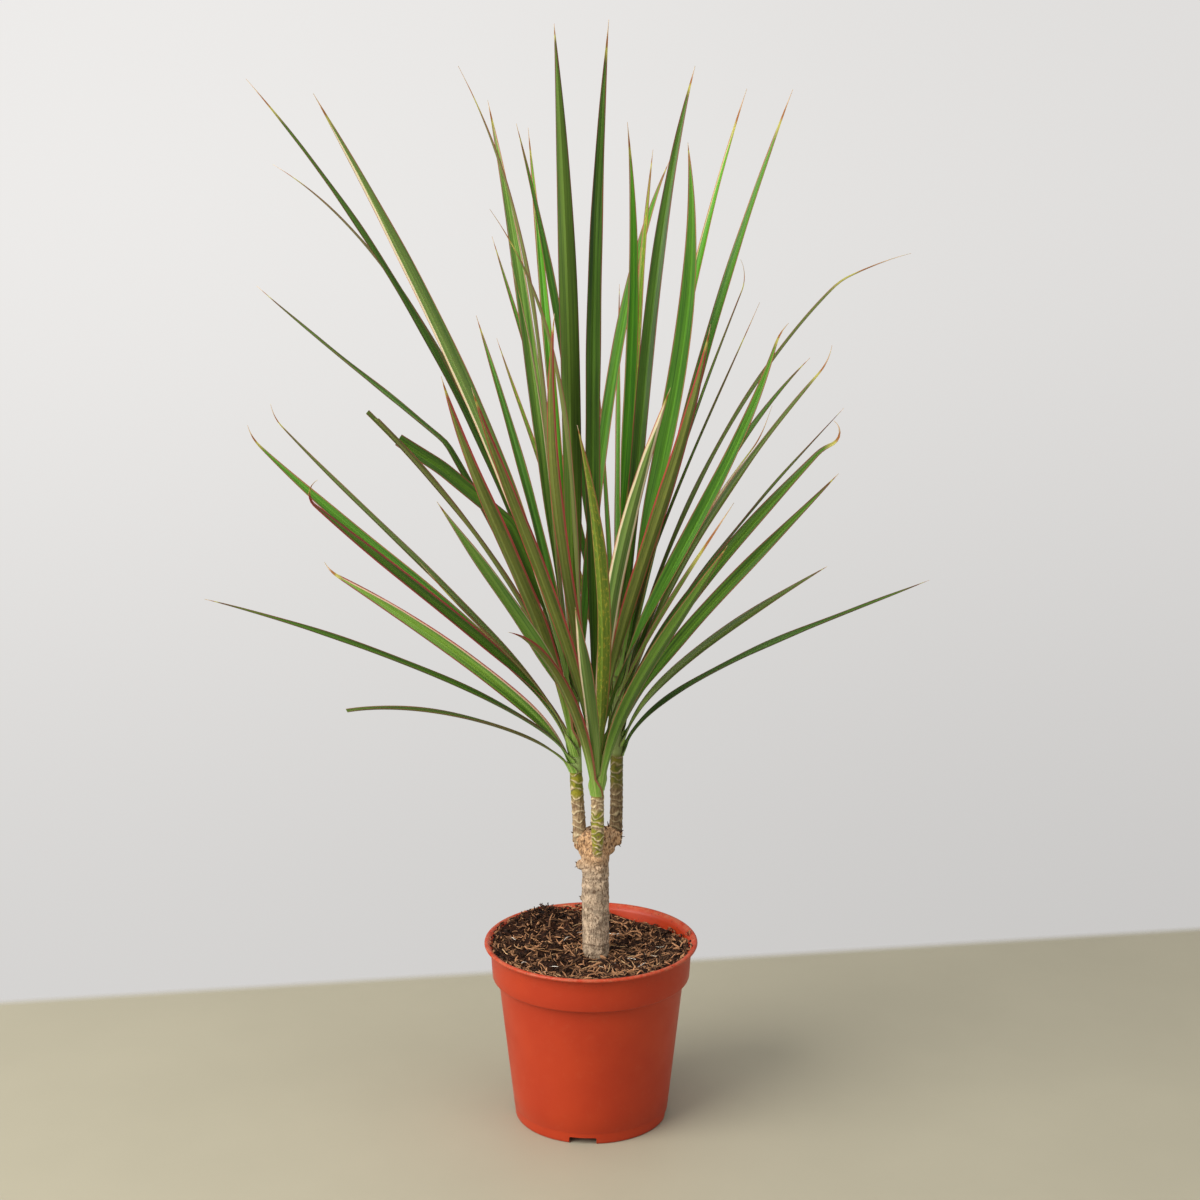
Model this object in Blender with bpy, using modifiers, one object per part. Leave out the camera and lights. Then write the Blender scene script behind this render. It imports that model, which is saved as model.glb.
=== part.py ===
"""A dragon tree (Dracaena marginata) in a moulded nursery pot.

The origin is on the pot's axis, on the surface it stands on, +Z up, and the pot's drain notch faces -Y.
One old cane stands in the potting mix and carries three shoots. Each shoot ends in a crown of long,
narrow leaves. Lengths are in millimetres until MM turns them into metres.
"""

import math

import bmesh
import bpy
from mathutils import Matrix, Vector

MM = 0.001
GAP = 0.3  # clearance between pieces that touch

# Pot
POT_HEIGHT = 112.0
LIP_RADIUS = 65.0
LIP_THICKNESS = 2.0
BAND_TOP_RADIUS = 61.2
BAND_FOOT_RADIUS = 60.2
BAND_FOOT_HEIGHT = 89.5
STEP_HEIGHT = 88.0
BODY_TOP_RADIUS = 56.4
FOOT_RADIUS = 46.4
FOOT_RING_WIDTH = 2.6
FLOOR_UNDERSIDE = 4.5
FLOOR_THICKNESS = 1.5
WALL = 1.4
POT_STEPS = 40
NOTCH_WIDTH = 16.5
NOTCH_HEIGHT = 4.0
NOTCH_TURN = -96.0
DRAIN_HOLES = 8
DRAIN_HOLE_RADIUS = 3.5
DRAIN_CIRCLE_RADIUS = 33.0
CENTRE_HOLE_RADIUS = 6.0

# Potting mix
MIX_TOP = 103.6
MIX_RINGS = (0.0, 15.0, 28.0, 40.0, 50.0, 59.0)
MIX_STEPS = 40

# Cane: its centre line, from the buried end to the sawn top, with the radius at each point
CANE = (
    (0.0, -2.0, 40.0, 7.0),
    (1.5, -4.0, 80.0, 8.0),
    (3.0, -5.0, 104.0, 8.2),
    (2.8, -5.0, 135.0, 8.0),
    (2.6, -4.6, 160.0, 8.1),
    (3.2, -3.4, 172.0, 8.8),
    (4.0, -2.0, 183.0, 8.0),
)
# Knobs on the cane: centre and radius
CANE_KNOBS = (
    (-4.0, -1.5, 176.5, 6.3),
    (12.0, 3.0, 176.5, 6.6),
    (4.0, -9.2, 168.0, 5.8),
    (-1.0, -2.5, 170.5, 6.6),
    (9.0, 0.5, 171.0, 5.8),
    (-6.0, -5.5, 161.5, 2.9),
    (-4.6, -6.0, 140.5, 2.0),
)
BALL_SEGMENTS = 12
BALL_RINGS = 8

# Shoots: centre line up to the lowest leaf, then the crown's own axis
SHOOTS = {
    "left": ((-6.6, -1.5, 175.0), (-7.2, -1.6, 190.0), (-8.4, -1.8, 208.0), (-9.0, -2.0, 220.0)),
    "front": ((4.0, -10.5, 165.0), (4.0, -13.0, 172.0), (4.0, -14.2, 185.0), (4.0, -14.0, 209.0)),
    "right": ((14.6, 4.0, 175.0), (15.4, 4.6, 190.0), (15.5, 5.0, 208.0), (15.5, 5.0, 228.0)),
}
SHOOT_RADIUS = 3.8
# Radius of each shoot at the first two points of its line
SHOOT_FEET = {"left": (4.3, 3.8), "front": (2.4, 2.9), "right": (4.3, 3.8)}
GROWING_TIP_RADIUS = 1.4
GROWING_TIP_RISE = 4.0  # above the highest leaf

# Leaves
LEAF_PITCH = 3.1  # each leaf of a crown sits this much above the one before
LEAF_THICKNESS = 0.8
LEAF_STATIONS = 10
LEAF_START_LEAN = 12.0
LEAF_START_HANDLE = 0.34  # share of an upright leaf's reach over which it keeps close to the stem
LEAF_WAIST = 0.34  # width where the leaf meets its stem, as a share of its full width
LEAF_TIP_HALF_WIDTH = 0.35
LEAF_KEEL = 0.18  # how far the blade's edges rise over the midrib, as a share of its half width
ROLL_FROM = 0.08  # the blade rolls over between these shares of its length
ROLL_TO = 0.5
CURVE_SAMPLES = 120

# Every leaf, from the lowest of its crown to the highest: the bearing it grows in (degrees from +X),
# its lean from upright and its reach to the tip, how much further the tip leans over, its width and how
# far the blade rolls about its own length. Some bow sideways, rise close to the stem for a given length,
# are bent (from, to, by), or were cut short.
LEAVES = {
    "left": (
        dict(bearing=215, lean=68, reach=159, droop=22, width=6.0, roll=-10, cut=0.75),
        dict(
            bearing=160, lean=56, reach=196, droop=10, width=9.0, roll=-65, rise=29,
            bends=((0.94, 1.0, -35),),
        ),
        dict(bearing=198, lean=62, reach=239, droop=10, width=8.0, roll=-15, rise=28),
        dict(
            bearing=145, lean=51.7, reach=308, droop=0, width=7.0, roll=0, rise=50,
            bends=((0.95, 1.0, -40),),
        ),
        dict(
            bearing=176, lean=45, reach=270, droop=-2, width=9.0, roll=-45, rise=50,
            bends=((0.95, 1.0, -30),),
        ),
        dict(bearing=239, lean=29, reach=264, droop=-5, width=10.0, roll=15),
        dict(
            bearing=195, lean=45, reach=226, droop=0, width=8.5, roll=-55, rise=36,
            bends=((0.93, 1.0, -110),),
        ),
        dict(bearing=153, lean=30, reach=350, droop=2, width=8.0, roll=5, bends=((0.55, 0.58, 22),)),
        dict(bearing=215, lean=33, reach=232, droop=12, width=5.5, roll=10, cut=0.75),
        dict(bearing=143, lean=36, reach=404, droop=32, width=6.5, roll=20),
        dict(bearing=190, lean=32, reach=219, droop=12, width=6.0, roll=-30, cut=0.75),
        dict(bearing=122, lean=26.5, reach=256, droop=6, width=7.0, roll=0),
        dict(bearing=166, lean=27.9, reach=414, droop=14, width=9.0, roll=-10),
        dict(bearing=215, lean=24.5, reach=384, droop=8, width=9.5, roll=45),
        dict(bearing=68, lean=26, reach=349, droop=26, width=8.0, roll=0),
        dict(
            bearing=186, lean=20, reach=190, droop=0, width=9.0, roll=-70, cut=0.7,
            bends=((0.55, 0.61, 27), (0.82, 0.88, 8)),
        ),
        dict(bearing=108, lean=15.5, reach=339, droop=2, width=6.5, roll=0),
        dict(bearing=160, lean=8.4, reach=341, droop=4, width=9.0, roll=-50),
        dict(bearing=253, lean=5, reach=374, droop=1, width=11.5, roll=15, bow=4),
        dict(bearing=192, lean=10.2, reach=354, droop=18, width=4.5, roll=25),
    ),
    "front": (
        dict(bearing=248, lean=44, reach=173, droop=30, width=8.0, roll=0),
        dict(bearing=300, lean=38, reach=213, droop=5, width=9.0, roll=-20),
        dict(bearing=262, lean=33, reach=149, droop=6, width=8.5, roll=-10),
        dict(bearing=330, lean=37, reach=242, droop=6, width=8.5, roll=80),
        dict(bearing=220, lean=32, reach=206, droop=4, width=10.5, roll=-80),
        dict(bearing=266, lean=32, reach=261, droop=-2, width=9.0, roll=-25, bow=10),
        dict(
            bearing=348, lean=34, reach=250, droop=8, width=9.0, roll=65,
            bends=((0.9, 0.93, 20), (0.94, 1.0, -120)),
        ),
        dict(bearing=233, lean=25, reach=252, droop=0, width=8.5, roll=25),
        dict(bearing=330, lean=28.2, reach=178, droop=5, width=4.0, roll=65),
        dict(bearing=292, lean=24, reach=244, droop=2, width=9.5, roll=-20, bow=-9),
        dict(bearing=250, lean=14, reach=264, droop=-8, width=8.0, roll=-5, bow=-10),
        dict(bearing=340, lean=23, reach=269, droop=-9, width=9.0, roll=80, bends=((0.95, 1.0, 30),)),
        dict(bearing=210, lean=12, reach=311, droop=26, width=5.0, roll=5),
        dict(bearing=312, lean=20, reach=257, droop=-6, width=9.5, roll=-25),
        dict(bearing=110, lean=-3, reach=399, droop=0, width=9.5, roll=0, bow=8),
    ),
    "right": (
        dict(bearing=23, lean=67, reach=229, droop=7, width=8.0, roll=0, rise=42),
        dict(bearing=94, lean=36, reach=250, droop=5, width=4.5, roll=40),
        dict(bearing=10, lean=50, reach=162, droop=10, width=8.0, roll=25, rise=38),
        dict(bearing=118, lean=35, reach=278, droop=3, width=6.0, roll=20),
        dict(bearing=37, lean=44, reach=255, droop=10, width=5.5, roll=-25),
        dict(bearing=80, lean=30, reach=255, droop=3, width=5.5, roll=-40),
        dict(bearing=47, lean=41, reach=274, droop=20, width=7.0, roll=0),
        dict(bearing=12, lean=31, reach=254, droop=12, width=7.0, roll=20, bends=((0.93, 1.0, -35),)),
        dict(bearing=89, lean=28, reach=280, droop=0, width=4.5, roll=-40),
        dict(bearing=28, lean=35.2, reach=341, droop=28, width=5.0, roll=0, bends=((0.83, 0.87, 16),)),
        dict(bearing=128, lean=24, reach=298, droop=3, width=6.0, roll=0),
        dict(bearing=43, lean=23.6, reach=278, droop=7, width=4.5, roll=-25, bends=((0.93, 1.0, -70),)),
        dict(bearing=0, lean=15.2, reach=363, droop=5, width=8.5, roll=40),
        dict(bearing=72, lean=12, reach=322, droop=8, width=6.5, roll=-15),
        dict(bearing=25, lean=13, reach=355, droop=7, width=7.5, roll=15),
        dict(bearing=153, lean=11, reach=329, droop=5, width=8.0, roll=-15),
        dict(bearing=345, lean=7, reach=311, droop=-14, width=12.0, roll=80),
        dict(bearing=57, lean=13.3, reach=361, droop=14, width=9.0, roll=20),
        dict(bearing=200, lean=-1.5, reach=314, droop=7, width=8.5, roll=-80),
    ),
}


def clear_scene():
    for obj in list(bpy.data.objects):
        bpy.data.objects.remove(obj, do_unlink=True)


def new_collection(name, helper=False):
    collection = bpy.data.collections.new(name)
    bpy.context.scene.collection.children.link(collection)
    collection.hide_render = helper
    return collection


def new_material(name, colour, roughness, metallic=0.0):
    material = bpy.data.materials.new(name)
    material.use_nodes = True
    shader = material.node_tree.nodes["Principled BSDF"]
    shader.inputs["Base Color"].default_value = (*colour, 1.0)
    shader.inputs["Roughness"].default_value = roughness
    shader.inputs["Metallic"].default_value = metallic
    material.diffuse_color = (*colour, 1.0)
    return material


def add_object(name, data, collection, material=None):
    obj = bpy.data.objects.new(name, data)
    collection.objects.link(obj)
    if material:
        data.materials.append(material)
    return obj


def as_helper(obj):
    obj.hide_render = True
    obj.display_type = "WIRE"
    return obj


def mesh_of(obj):
    """The evaluated mesh of an object, its caps welded, in place of the object itself."""
    graph = bpy.context.evaluated_depsgraph_get()
    mesh = bpy.data.meshes.new_from_object(obj.evaluated_get(graph))
    work = bmesh.new()
    work.from_mesh(mesh)
    bmesh.ops.remove_doubles(work, verts=work.verts, dist=0.00001)
    bmesh.ops.recalc_face_normals(work, faces=work.faces)
    work.to_mesh(mesh)
    work.free()
    name, collection, world = obj.name, obj.users_collection[0], obj.matrix_world.copy()
    bpy.data.objects.remove(obj, do_unlink=True)
    made = add_object(name, mesh, collection)
    made.matrix_world = world
    return made


def turned(name, profile, steps, collection):
    """A profile of (radius, height) points at +X, turned about Z."""
    mesh = bpy.data.meshes.new(name)
    points = [(radius * MM, 0.0, height * MM) for radius, height in profile]
    closed = profile[0][0] > 0.0
    edges = [(i, i + 1) for i in range(len(points) - 1)]
    if closed:
        edges.append((len(points) - 1, 0))
    mesh.from_pydata(points, edges, [])
    obj = add_object(name, mesh, collection)
    screw = obj.modifiers.new("Turn", "SCREW")
    screw.steps = steps
    screw.render_steps = steps
    screw.use_merge_vertices = True
    screw.merge_threshold = 0.00001
    return obj


def tube(name, points, radii, collection, material=None):
    """A closed tube along points in millimetres, with its own radius at each of them."""
    curve = bpy.data.curves.new(name, "CURVE")
    curve.dimensions = "3D"
    curve.bevel_depth = MM
    curve.bevel_resolution = 3
    curve.use_fill_caps = True
    spline = curve.splines.new("POLY")
    spline.points.add(len(points) - 1)
    for target, point, radius in zip(spline.points, points, radii):
        target.co = (*(Vector(point) * MM), 1.0)
        target.radius = radius
    return add_object(name, curve, collection, material)


def ball(name, centre, radius, collection):
    mesh = bpy.data.meshes.new(name)
    work = bmesh.new()
    place = Matrix.Translation(Vector(centre) * MM)
    bmesh.ops.create_uvsphere(
        work, u_segments=BALL_SEGMENTS, v_segments=BALL_RINGS, radius=radius * MM, matrix=place
    )
    work.to_mesh(mesh)
    work.free()
    return add_object(name, mesh, collection)


def block(name, centre, size, turn, collection):
    mesh = bpy.data.meshes.new(name)
    work = bmesh.new()
    scale = Matrix.Diagonal((*(Vector(size) * MM), 1.0))
    place = Matrix.Rotation(math.radians(turn), 4, "Z") @ Matrix.Translation(Vector(centre) * MM)
    bmesh.ops.create_cube(work, size=1.0, matrix=place @ scale)
    work.to_mesh(mesh)
    work.free()
    return add_object(name, mesh, collection)


def rod(name, centre, radius, height, collection):
    mesh = bpy.data.meshes.new(name)
    work = bmesh.new()
    bmesh.ops.create_cone(
        work,
        cap_ends=True,
        segments=16,
        radius1=radius * MM,
        radius2=radius * MM,
        depth=height * MM,
        matrix=Matrix.Translation(Vector(centre) * MM),
    )
    work.to_mesh(mesh)
    work.free()
    return add_object(name, mesh, collection)


def combine(obj, other, operation):
    boolean = obj.modifiers.new(operation.title() + " " + other.name, "BOOLEAN")
    boolean.operation = operation
    boolean.object = as_helper(other)


def make_pot(parts, helpers):
    inner_floor = FLOOR_UNDERSIDE + FLOOR_THICKNESS
    foot_inner = FOOT_RADIUS - FOOT_RING_WIDTH
    profile = (
        (LIP_RADIUS - 1.4, POT_HEIGHT),
        (LIP_RADIUS - 0.4, POT_HEIGHT - 0.3),
        (LIP_RADIUS, POT_HEIGHT - LIP_THICKNESS / 2),
        (LIP_RADIUS - 0.5, POT_HEIGHT - LIP_THICKNESS + 0.3),
        (BAND_TOP_RADIUS + 0.4, POT_HEIGHT - LIP_THICKNESS - 0.4),
        (BAND_TOP_RADIUS, POT_HEIGHT - LIP_THICKNESS - 1.4),
        (BAND_FOOT_RADIUS, BAND_FOOT_HEIGHT + 0.8),
        (BAND_FOOT_RADIUS - 0.8, BAND_FOOT_HEIGHT),
        (BODY_TOP_RADIUS + 0.6, STEP_HEIGHT + 0.4),
        (BODY_TOP_RADIUS, STEP_HEIGHT - 0.6),
        (FOOT_RADIUS + 0.6, 3.0),
        (FOOT_RADIUS, 0.0),
        (foot_inner, 0.0),
        (foot_inner, FLOOR_UNDERSIDE),
        (CENTRE_HOLE_RADIUS, FLOOR_UNDERSIDE),
        (CENTRE_HOLE_RADIUS, inner_floor),
        (foot_inner - 0.4, inner_floor),
        (FOOT_RADIUS - WALL, inner_floor + 2.0),
        (BODY_TOP_RADIUS - WALL, STEP_HEIGHT + 0.6),
        (BAND_FOOT_RADIUS - WALL, BAND_FOOT_HEIGHT + 1.4),
        (BAND_TOP_RADIUS - WALL, POT_HEIGHT - 3.6),
        (BAND_TOP_RADIUS - 0.2, POT_HEIGHT - 1.8),
        (LIP_RADIUS - 2.7, POT_HEIGHT - 0.5),
    )
    pot = turned("pot", profile, POT_STEPS, parts)
    pot.data.materials.append(new_material("terracotta_plastic", (0.52, 0.075, 0.028), 0.42))
    for i in range(4):
        notch = block(
            f"notch_cutter_{i + 1}",
            (FOOT_RADIUS, 0.0, 0.0),
            (3 * FOOT_RING_WIDTH, NOTCH_WIDTH, 2 * NOTCH_HEIGHT),
            NOTCH_TURN + 90.0 * i,
            helpers,
        )
        combine(pot, notch, "DIFFERENCE")
    for i in range(DRAIN_HOLES):
        turn = 2.0 * math.pi * (i + 0.5) / DRAIN_HOLES
        centre = (DRAIN_CIRCLE_RADIUS * math.cos(turn), DRAIN_CIRCLE_RADIUS * math.sin(turn), inner_floor)
        combine(pot, rod(f"drain_cutter_{i + 1}", centre, DRAIN_HOLE_RADIUS, 8.0, helpers), "DIFFERENCE")
    return pot


def mix_height(x, y):
    """Height of the potting mix: dished, heaped to the lip at the back left, lower at the back right."""
    dish = MIX_TOP + 0.0012 * (x * x + y * y) - 0.012 * x - 0.0012 * x * y
    return dish + 0.7 * math.sin(x / 7.0 + 1.0) * math.cos(y / 8.0)


def make_mix(parts, helpers):
    band_inner = BAND_FOOT_RADIUS - WALL - GAP
    body_inner = BODY_TOP_RADIUS - WALL - GAP
    foot_inner = FOOT_RADIUS - WALL - GAP
    floor = FLOOR_UNDERSIDE + FLOOR_THICKNESS + GAP
    profile = [(radius, MIX_TOP) for radius in MIX_RINGS]
    profile += [(band_inner, BAND_FOOT_HEIGHT + 2.6), (body_inner, STEP_HEIGHT + 1.0)]
    profile += [(foot_inner, floor + 2.4), (foot_inner - 2.0, floor), (0.0, floor)]
    mix = mesh_of(turned("potting_mix", profile, MIX_STEPS, parts))
    mix.data.materials.append(new_material("coir_mix", (0.055, 0.03, 0.018), 0.95))
    for vert in mix.data.vertices:
        if vert.co.z > (MIX_TOP - 0.5) * MM:
            vert.co.z = mix_height(vert.co.x / MM, vert.co.y / MM) * MM
    socket = tube(
        "cane_socket_cutter",
        [point[:3] for point in CANE],
        [point[3] + GAP for point in CANE],
        helpers,
    )
    socket = mesh_of(socket)
    lowest = min(vert.co.z for vert in socket.data.vertices)
    for vert in socket.data.vertices:
        if vert.co.z < lowest + 2.0 * MM:
            vert.co.z -= GAP * MM
    combine(mix, socket, "DIFFERENCE")
    return mix


def shoot_line(name, extra=0.0):
    """Centre line and radii of a shoot, from its foot in the cane to its growing tip."""
    stem = SHOOTS[name]
    top = len(LEAVES[name]) * LEAF_PITCH + GROWING_TIP_RISE
    x, y, z = stem[-1]
    points = [*stem, (x, y, z + top / 2), (x, y, z + top)]
    middle = (SHOOT_RADIUS + GROWING_TIP_RADIUS) / 2
    radii = [*SHOOT_FEET[name], SHOOT_RADIUS, SHOOT_RADIUS, middle, GROWING_TIP_RADIUS]
    return points, [radius + extra for radius in radii]


def make_cane(parts, helpers):
    cane = mesh_of(tube("cane", [point[:3] for point in CANE], [point[3] for point in CANE], parts))
    cane.data.materials.append(new_material("cane_bark", (0.36, 0.24, 0.14), 0.85))
    for i, (*centre, radius) in enumerate(CANE_KNOBS):
        combine(cane, ball(f"knob_{i + 1}", centre, radius, helpers), "UNION")
    for name in SHOOTS:
        points, radii = shoot_line(name, GAP)
        foot = Vector(points[0])
        points[0] = foot - (Vector(points[1]) - foot).normalized() * GAP
        combine(cane, mesh_of(tube(f"socket_cutter_{name}", points[:3], radii[:3], helpers)), "DIFFERENCE")
    return cane


def make_shoot(name, parts, material):
    points, radii = shoot_line(name)
    return tube(f"shoot_{name}", points, radii, parts, material)


def leaf_line(base, leaf):
    """Points along the leaf's middle: a Bezier curve in the leaf's own upright plane, then its bends."""
    lean = math.radians(leaf["lean"])
    start = math.radians(min(LEAF_START_LEAN, leaf["lean"]))
    over = lean + math.radians(leaf["droop"])
    reach = leaf["reach"]
    handle = leaf.get("rise", LEAF_START_HANDLE * reach * math.cos(lean))
    bow = leaf.get("bow", 0.0) * 4.0 / 3.0
    # Each control point is (outwards, sideways, up) from the leaf's base.
    end = Vector((math.sin(lean), 0.0, math.cos(lean))) * reach
    controls = (
        Vector((0.0, 0.0, 0.0)),
        Vector((math.sin(start) * handle, bow / 2, math.cos(start) * handle)),
        end - Vector((math.sin(over), 0.0, math.cos(over))) * 0.35 * reach + Vector((0.0, bow, 0.0)),
        end,
    )
    samples = []
    for i in range(CURVE_SAMPLES + 1):
        t = i / CURVE_SAMPLES
        weights = ((1 - t) ** 3, 3 * t * (1 - t) ** 2, 3 * t * t * (1 - t), t**3)
        samples.append(sum((c * w for c, w in zip(controls, weights)), Vector()))
    bent = [samples[0]]
    for i in range(CURVE_SAMPLES):
        share = (i + 0.5) / CURVE_SAMPLES
        turn = 0.0
        for low, high, degrees in leaf.get("bends", ()):
            turn += math.radians(degrees) * min(max((share - low) / (high - low), 0.0), 1.0)
        step = samples[i + 1] - samples[i]
        bent.append(bent[-1] + Matrix.Rotation(turn, 3, "Y") @ step)
    about = Matrix.Rotation(math.radians(leaf["bearing"]), 3, "Z")
    return [base + about @ point for point in bent]


def half_width(leaf, share):
    """Half the blade's width at this share of its length, from its waist at the stem to its long point."""
    along = share * leaf.get("cut", 1.0)
    from_base = LEAF_WAIST + (1.0 - LEAF_WAIST) * math.sin(math.pi / 2 * min(along / 0.4, 1.0))
    from_tip = 1.0 - max(1.0 - (1.0 - along) / 0.45, 0.0) ** 1.9
    return max(leaf["width"] / 2 * from_base * from_tip, LEAF_TIP_HALF_WIDTH)


def leaf_stations(leaf):
    shares = {i / LEAF_STATIONS for i in range(LEAF_STATIONS + 1)}
    for low, high, _ in leaf.get("bends", ()):
        shares |= {low, (low + high) / 2, high}
    ordered = sorted(shares)
    return [s for i, s in enumerate(ordered) if i == 0 or s - ordered[i - 1] > 0.012]


def at_share(line, share):
    place = share * CURVE_SAMPLES
    i = min(int(place), CURVE_SAMPLES - 1)
    return line[i].lerp(line[i + 1], place - i)


def blade_frame(line, leaf, share):
    """Middle of the blade, its sideways direction and its upper side's direction, at this share."""
    step = 0.5 / CURVE_SAMPLES
    ahead = at_share(line, min(share + step, 1.0)) - at_share(line, max(share - step, 0.0))
    bearing = math.radians(leaf["bearing"])
    side = Vector((-math.sin(bearing), math.cos(bearing), 0.0))
    turned_share = min(max((share - ROLL_FROM) / (ROLL_TO - ROLL_FROM), 0.0), 1.0)
    roll = math.radians(leaf["roll"]) * turned_share**2 * (3.0 - 2.0 * turned_share)
    side = Matrix.Rotation(roll, 3, ahead) @ side
    return at_share(line, share), side, ahead.cross(side).normalized()


def make_leaf(name, crown, index, leaf, parts, material):
    bearing = math.radians(leaf["bearing"])
    height = index * LEAF_PITCH
    top = len(LEAVES[crown]) * LEAF_PITCH + GROWING_TIP_RISE
    stem_radius = SHOOT_RADIUS + (GROWING_TIP_RADIUS - SHOOT_RADIUS) * height / top
    out = stem_radius + GAP + LEAF_THICKNESS / 2
    base = Vector(SHOOTS[crown][-1]) + Vector((out * math.cos(bearing), out * math.sin(bearing), height))
    line = leaf_line(base, leaf)
    stations = leaf_stations(leaf)
    count = len(stations) - 1
    mesh = bpy.data.meshes.new(name)
    work = bmesh.new()
    bmesh.ops.create_grid(work, x_segments=count, y_segments=2, size=0.5)
    for vert in work.verts:
        share = stations[round((vert.co.x + 0.5) * count)]
        across = round(vert.co.y * 2)
        middle, side, upper = blade_frame(line, leaf, share)
        half = half_width(leaf, share)
        vert.co = (middle + side * across * half + upper * abs(across) * half * LEAF_KEEL) * MM
    bmesh.ops.recalc_face_normals(work, faces=work.faces)
    work.to_mesh(mesh)
    work.free()
    obj = add_object(name, mesh, parts, material)
    solid = obj.modifiers.new("Thickness", "SOLIDIFY")
    solid.thickness = LEAF_THICKNESS * MM
    solid.offset = 0.0
    return obj


def main():
    clear_scene()
    parts = new_collection("potted_dracaena")
    helpers = new_collection("cutters", helper=True)
    make_pot(parts, helpers)
    make_mix(parts, helpers)
    make_cane(parts, helpers)
    shoot_bark = new_material("shoot_bark", (0.22, 0.2, 0.07), 0.7)
    leaf_green = new_material("leaf_green", (0.07, 0.17, 0.035), 0.4)
    for crown, leaves in LEAVES.items():
        make_shoot(crown, parts, shoot_bark)
        for i, leaf in enumerate(leaves):
            make_leaf(f"leaf_{crown}_{i + 1:02d}", crown, i, leaf, parts, leaf_green)


main()
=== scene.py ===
"""Looks for a dragon tree (Dracaena marginata) in a moulded nursery pot, laid out as an add-on.

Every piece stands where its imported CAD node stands. Sizes in the tables are in millimetres, and MM turns
them into metres.
"""

import math
import random

import bpy
from bpy.props import FloatProperty, FloatVectorProperty, IntProperty, PointerProperty
from mathutils import Matrix, Vector, noise


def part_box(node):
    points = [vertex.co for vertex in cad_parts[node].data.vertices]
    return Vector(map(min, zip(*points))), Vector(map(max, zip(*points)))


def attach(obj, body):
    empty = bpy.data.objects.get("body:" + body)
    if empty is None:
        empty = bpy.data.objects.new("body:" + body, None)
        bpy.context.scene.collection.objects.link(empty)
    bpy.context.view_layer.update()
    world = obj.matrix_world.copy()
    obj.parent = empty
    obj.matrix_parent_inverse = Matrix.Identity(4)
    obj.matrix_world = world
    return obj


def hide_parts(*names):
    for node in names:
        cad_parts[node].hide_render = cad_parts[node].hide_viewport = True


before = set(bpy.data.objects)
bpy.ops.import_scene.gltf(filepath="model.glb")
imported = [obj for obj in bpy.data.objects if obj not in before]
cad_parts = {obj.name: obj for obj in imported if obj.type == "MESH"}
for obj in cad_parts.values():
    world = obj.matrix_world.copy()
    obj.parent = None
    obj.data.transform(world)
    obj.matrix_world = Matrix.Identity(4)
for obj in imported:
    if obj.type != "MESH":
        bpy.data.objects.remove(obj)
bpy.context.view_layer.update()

bl_info = {
    "name": "Potted Dragon Tree",
    "version": (1, 0, 0),
    "blender": (4, 5, 0),
    "location": "3D View > Sidebar > Dragon Tree",
    "description": "Builds a dragon tree with its cane, shoots, leaves, potting mix and nursery pot",
    "category": "Object",
}

MM = 0.001

# Pot
FOOT_RADIUS = 46.4
FOOT_RING_WIDTH = 2.6
NOTCH_WIDTH = 16.5
NOTCH_HEIGHT = 4.0
NOTCH_TURN = -96.0
DRAIN_HOLES = 8
DRAIN_HOLE_RADIUS = 3.5
DRAIN_CIRCLE_RADIUS = 33.0
# Its section, from the crown of the lip down the outside and back up the inside: radius and height
POT_SECTION = (
    (63.7, 112.0), (64.4, 111.8), (64.85, 111.35), (65.0, 110.8), (64.8, 110.3), (64.2, 109.95),
    (63.0, 109.8), (62.0, 109.6), (61.45, 109.1), (61.2, 108.4), (60.9, 102.0), (60.55, 96.0),
    (60.2, 90.6), (59.95, 89.9), (59.4, 89.5), (58.2, 89.1), (57.2, 88.7), (56.65, 88.2),
    (56.4, 87.4), (55.6, 80.0), (53.4, 60.0), (51.2, 40.0), (49.0, 20.0), (47.6, 7.2),
    (47.45, 6.9), (47.35, 6.4), (47.15, 3.4), (46.95, 1.4), (46.75, 0.5), (46.3, 0.0),
    (43.9, 0.0), (43.7, 0.3), (43.7, 4.5), (30.0, 4.5), (6.0, 4.5), (6.0, 6.0),
    (30.0, 6.0), (43.4, 6.0), (44.6, 6.6), (45.0, 8.0), (47.6, 20.0), (51.9, 60.0),
    (55.0, 88.0), (55.6, 89.2), (57.4, 90.2), (58.8, 91.0), (59.2, 96.0), (59.8, 108.4),
    (60.3, 109.4), (61.0, 110.2), (62.2, 111.4), (62.9, 111.85),
)

# Potting mix
MIX_RADIUS = 59.2
MIX_TOP = 103.6
MIX_FLOOR = 6.5
MIX_CELLS = 180
FLARE_FOOT = 108.6  # height at which the wall starts to flare out to the lip
FLARE_RADIUS = 61.8
# Its side, from the mark under its top down to its floor: radius and height
MIX_SIDE = ((57.6, 93.0), (54.6, 90.0), (54.4, 87.5), (44.2, 9.0), (41.8, MIX_FLOOR))
CANE_FOOT = (3.0, -5.0)  # where the cane leaves the mix
CANE_CLEARANCE = 9.2  # no loose bit lies nearer to the middle of the cane's foot
HEAP_BITS = 170
HEAP_BEARING = 122.0
HEAP_SPREAD = 13.0
CRUMB_FLATNESS = 0.6
FIBRE_THICKNESS = 0.14  # of a fibre that is one unit long
FIBRE_RINGS = 6
# How far each kind of fibre bows, lifts and twists
FIBRE_BENDS = ((0.10, 0.05, 0.0), (-0.16, 0.08, 1.0), (0.24, -0.06, 0.5), (-0.05, 0.14, -1.0))
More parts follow.
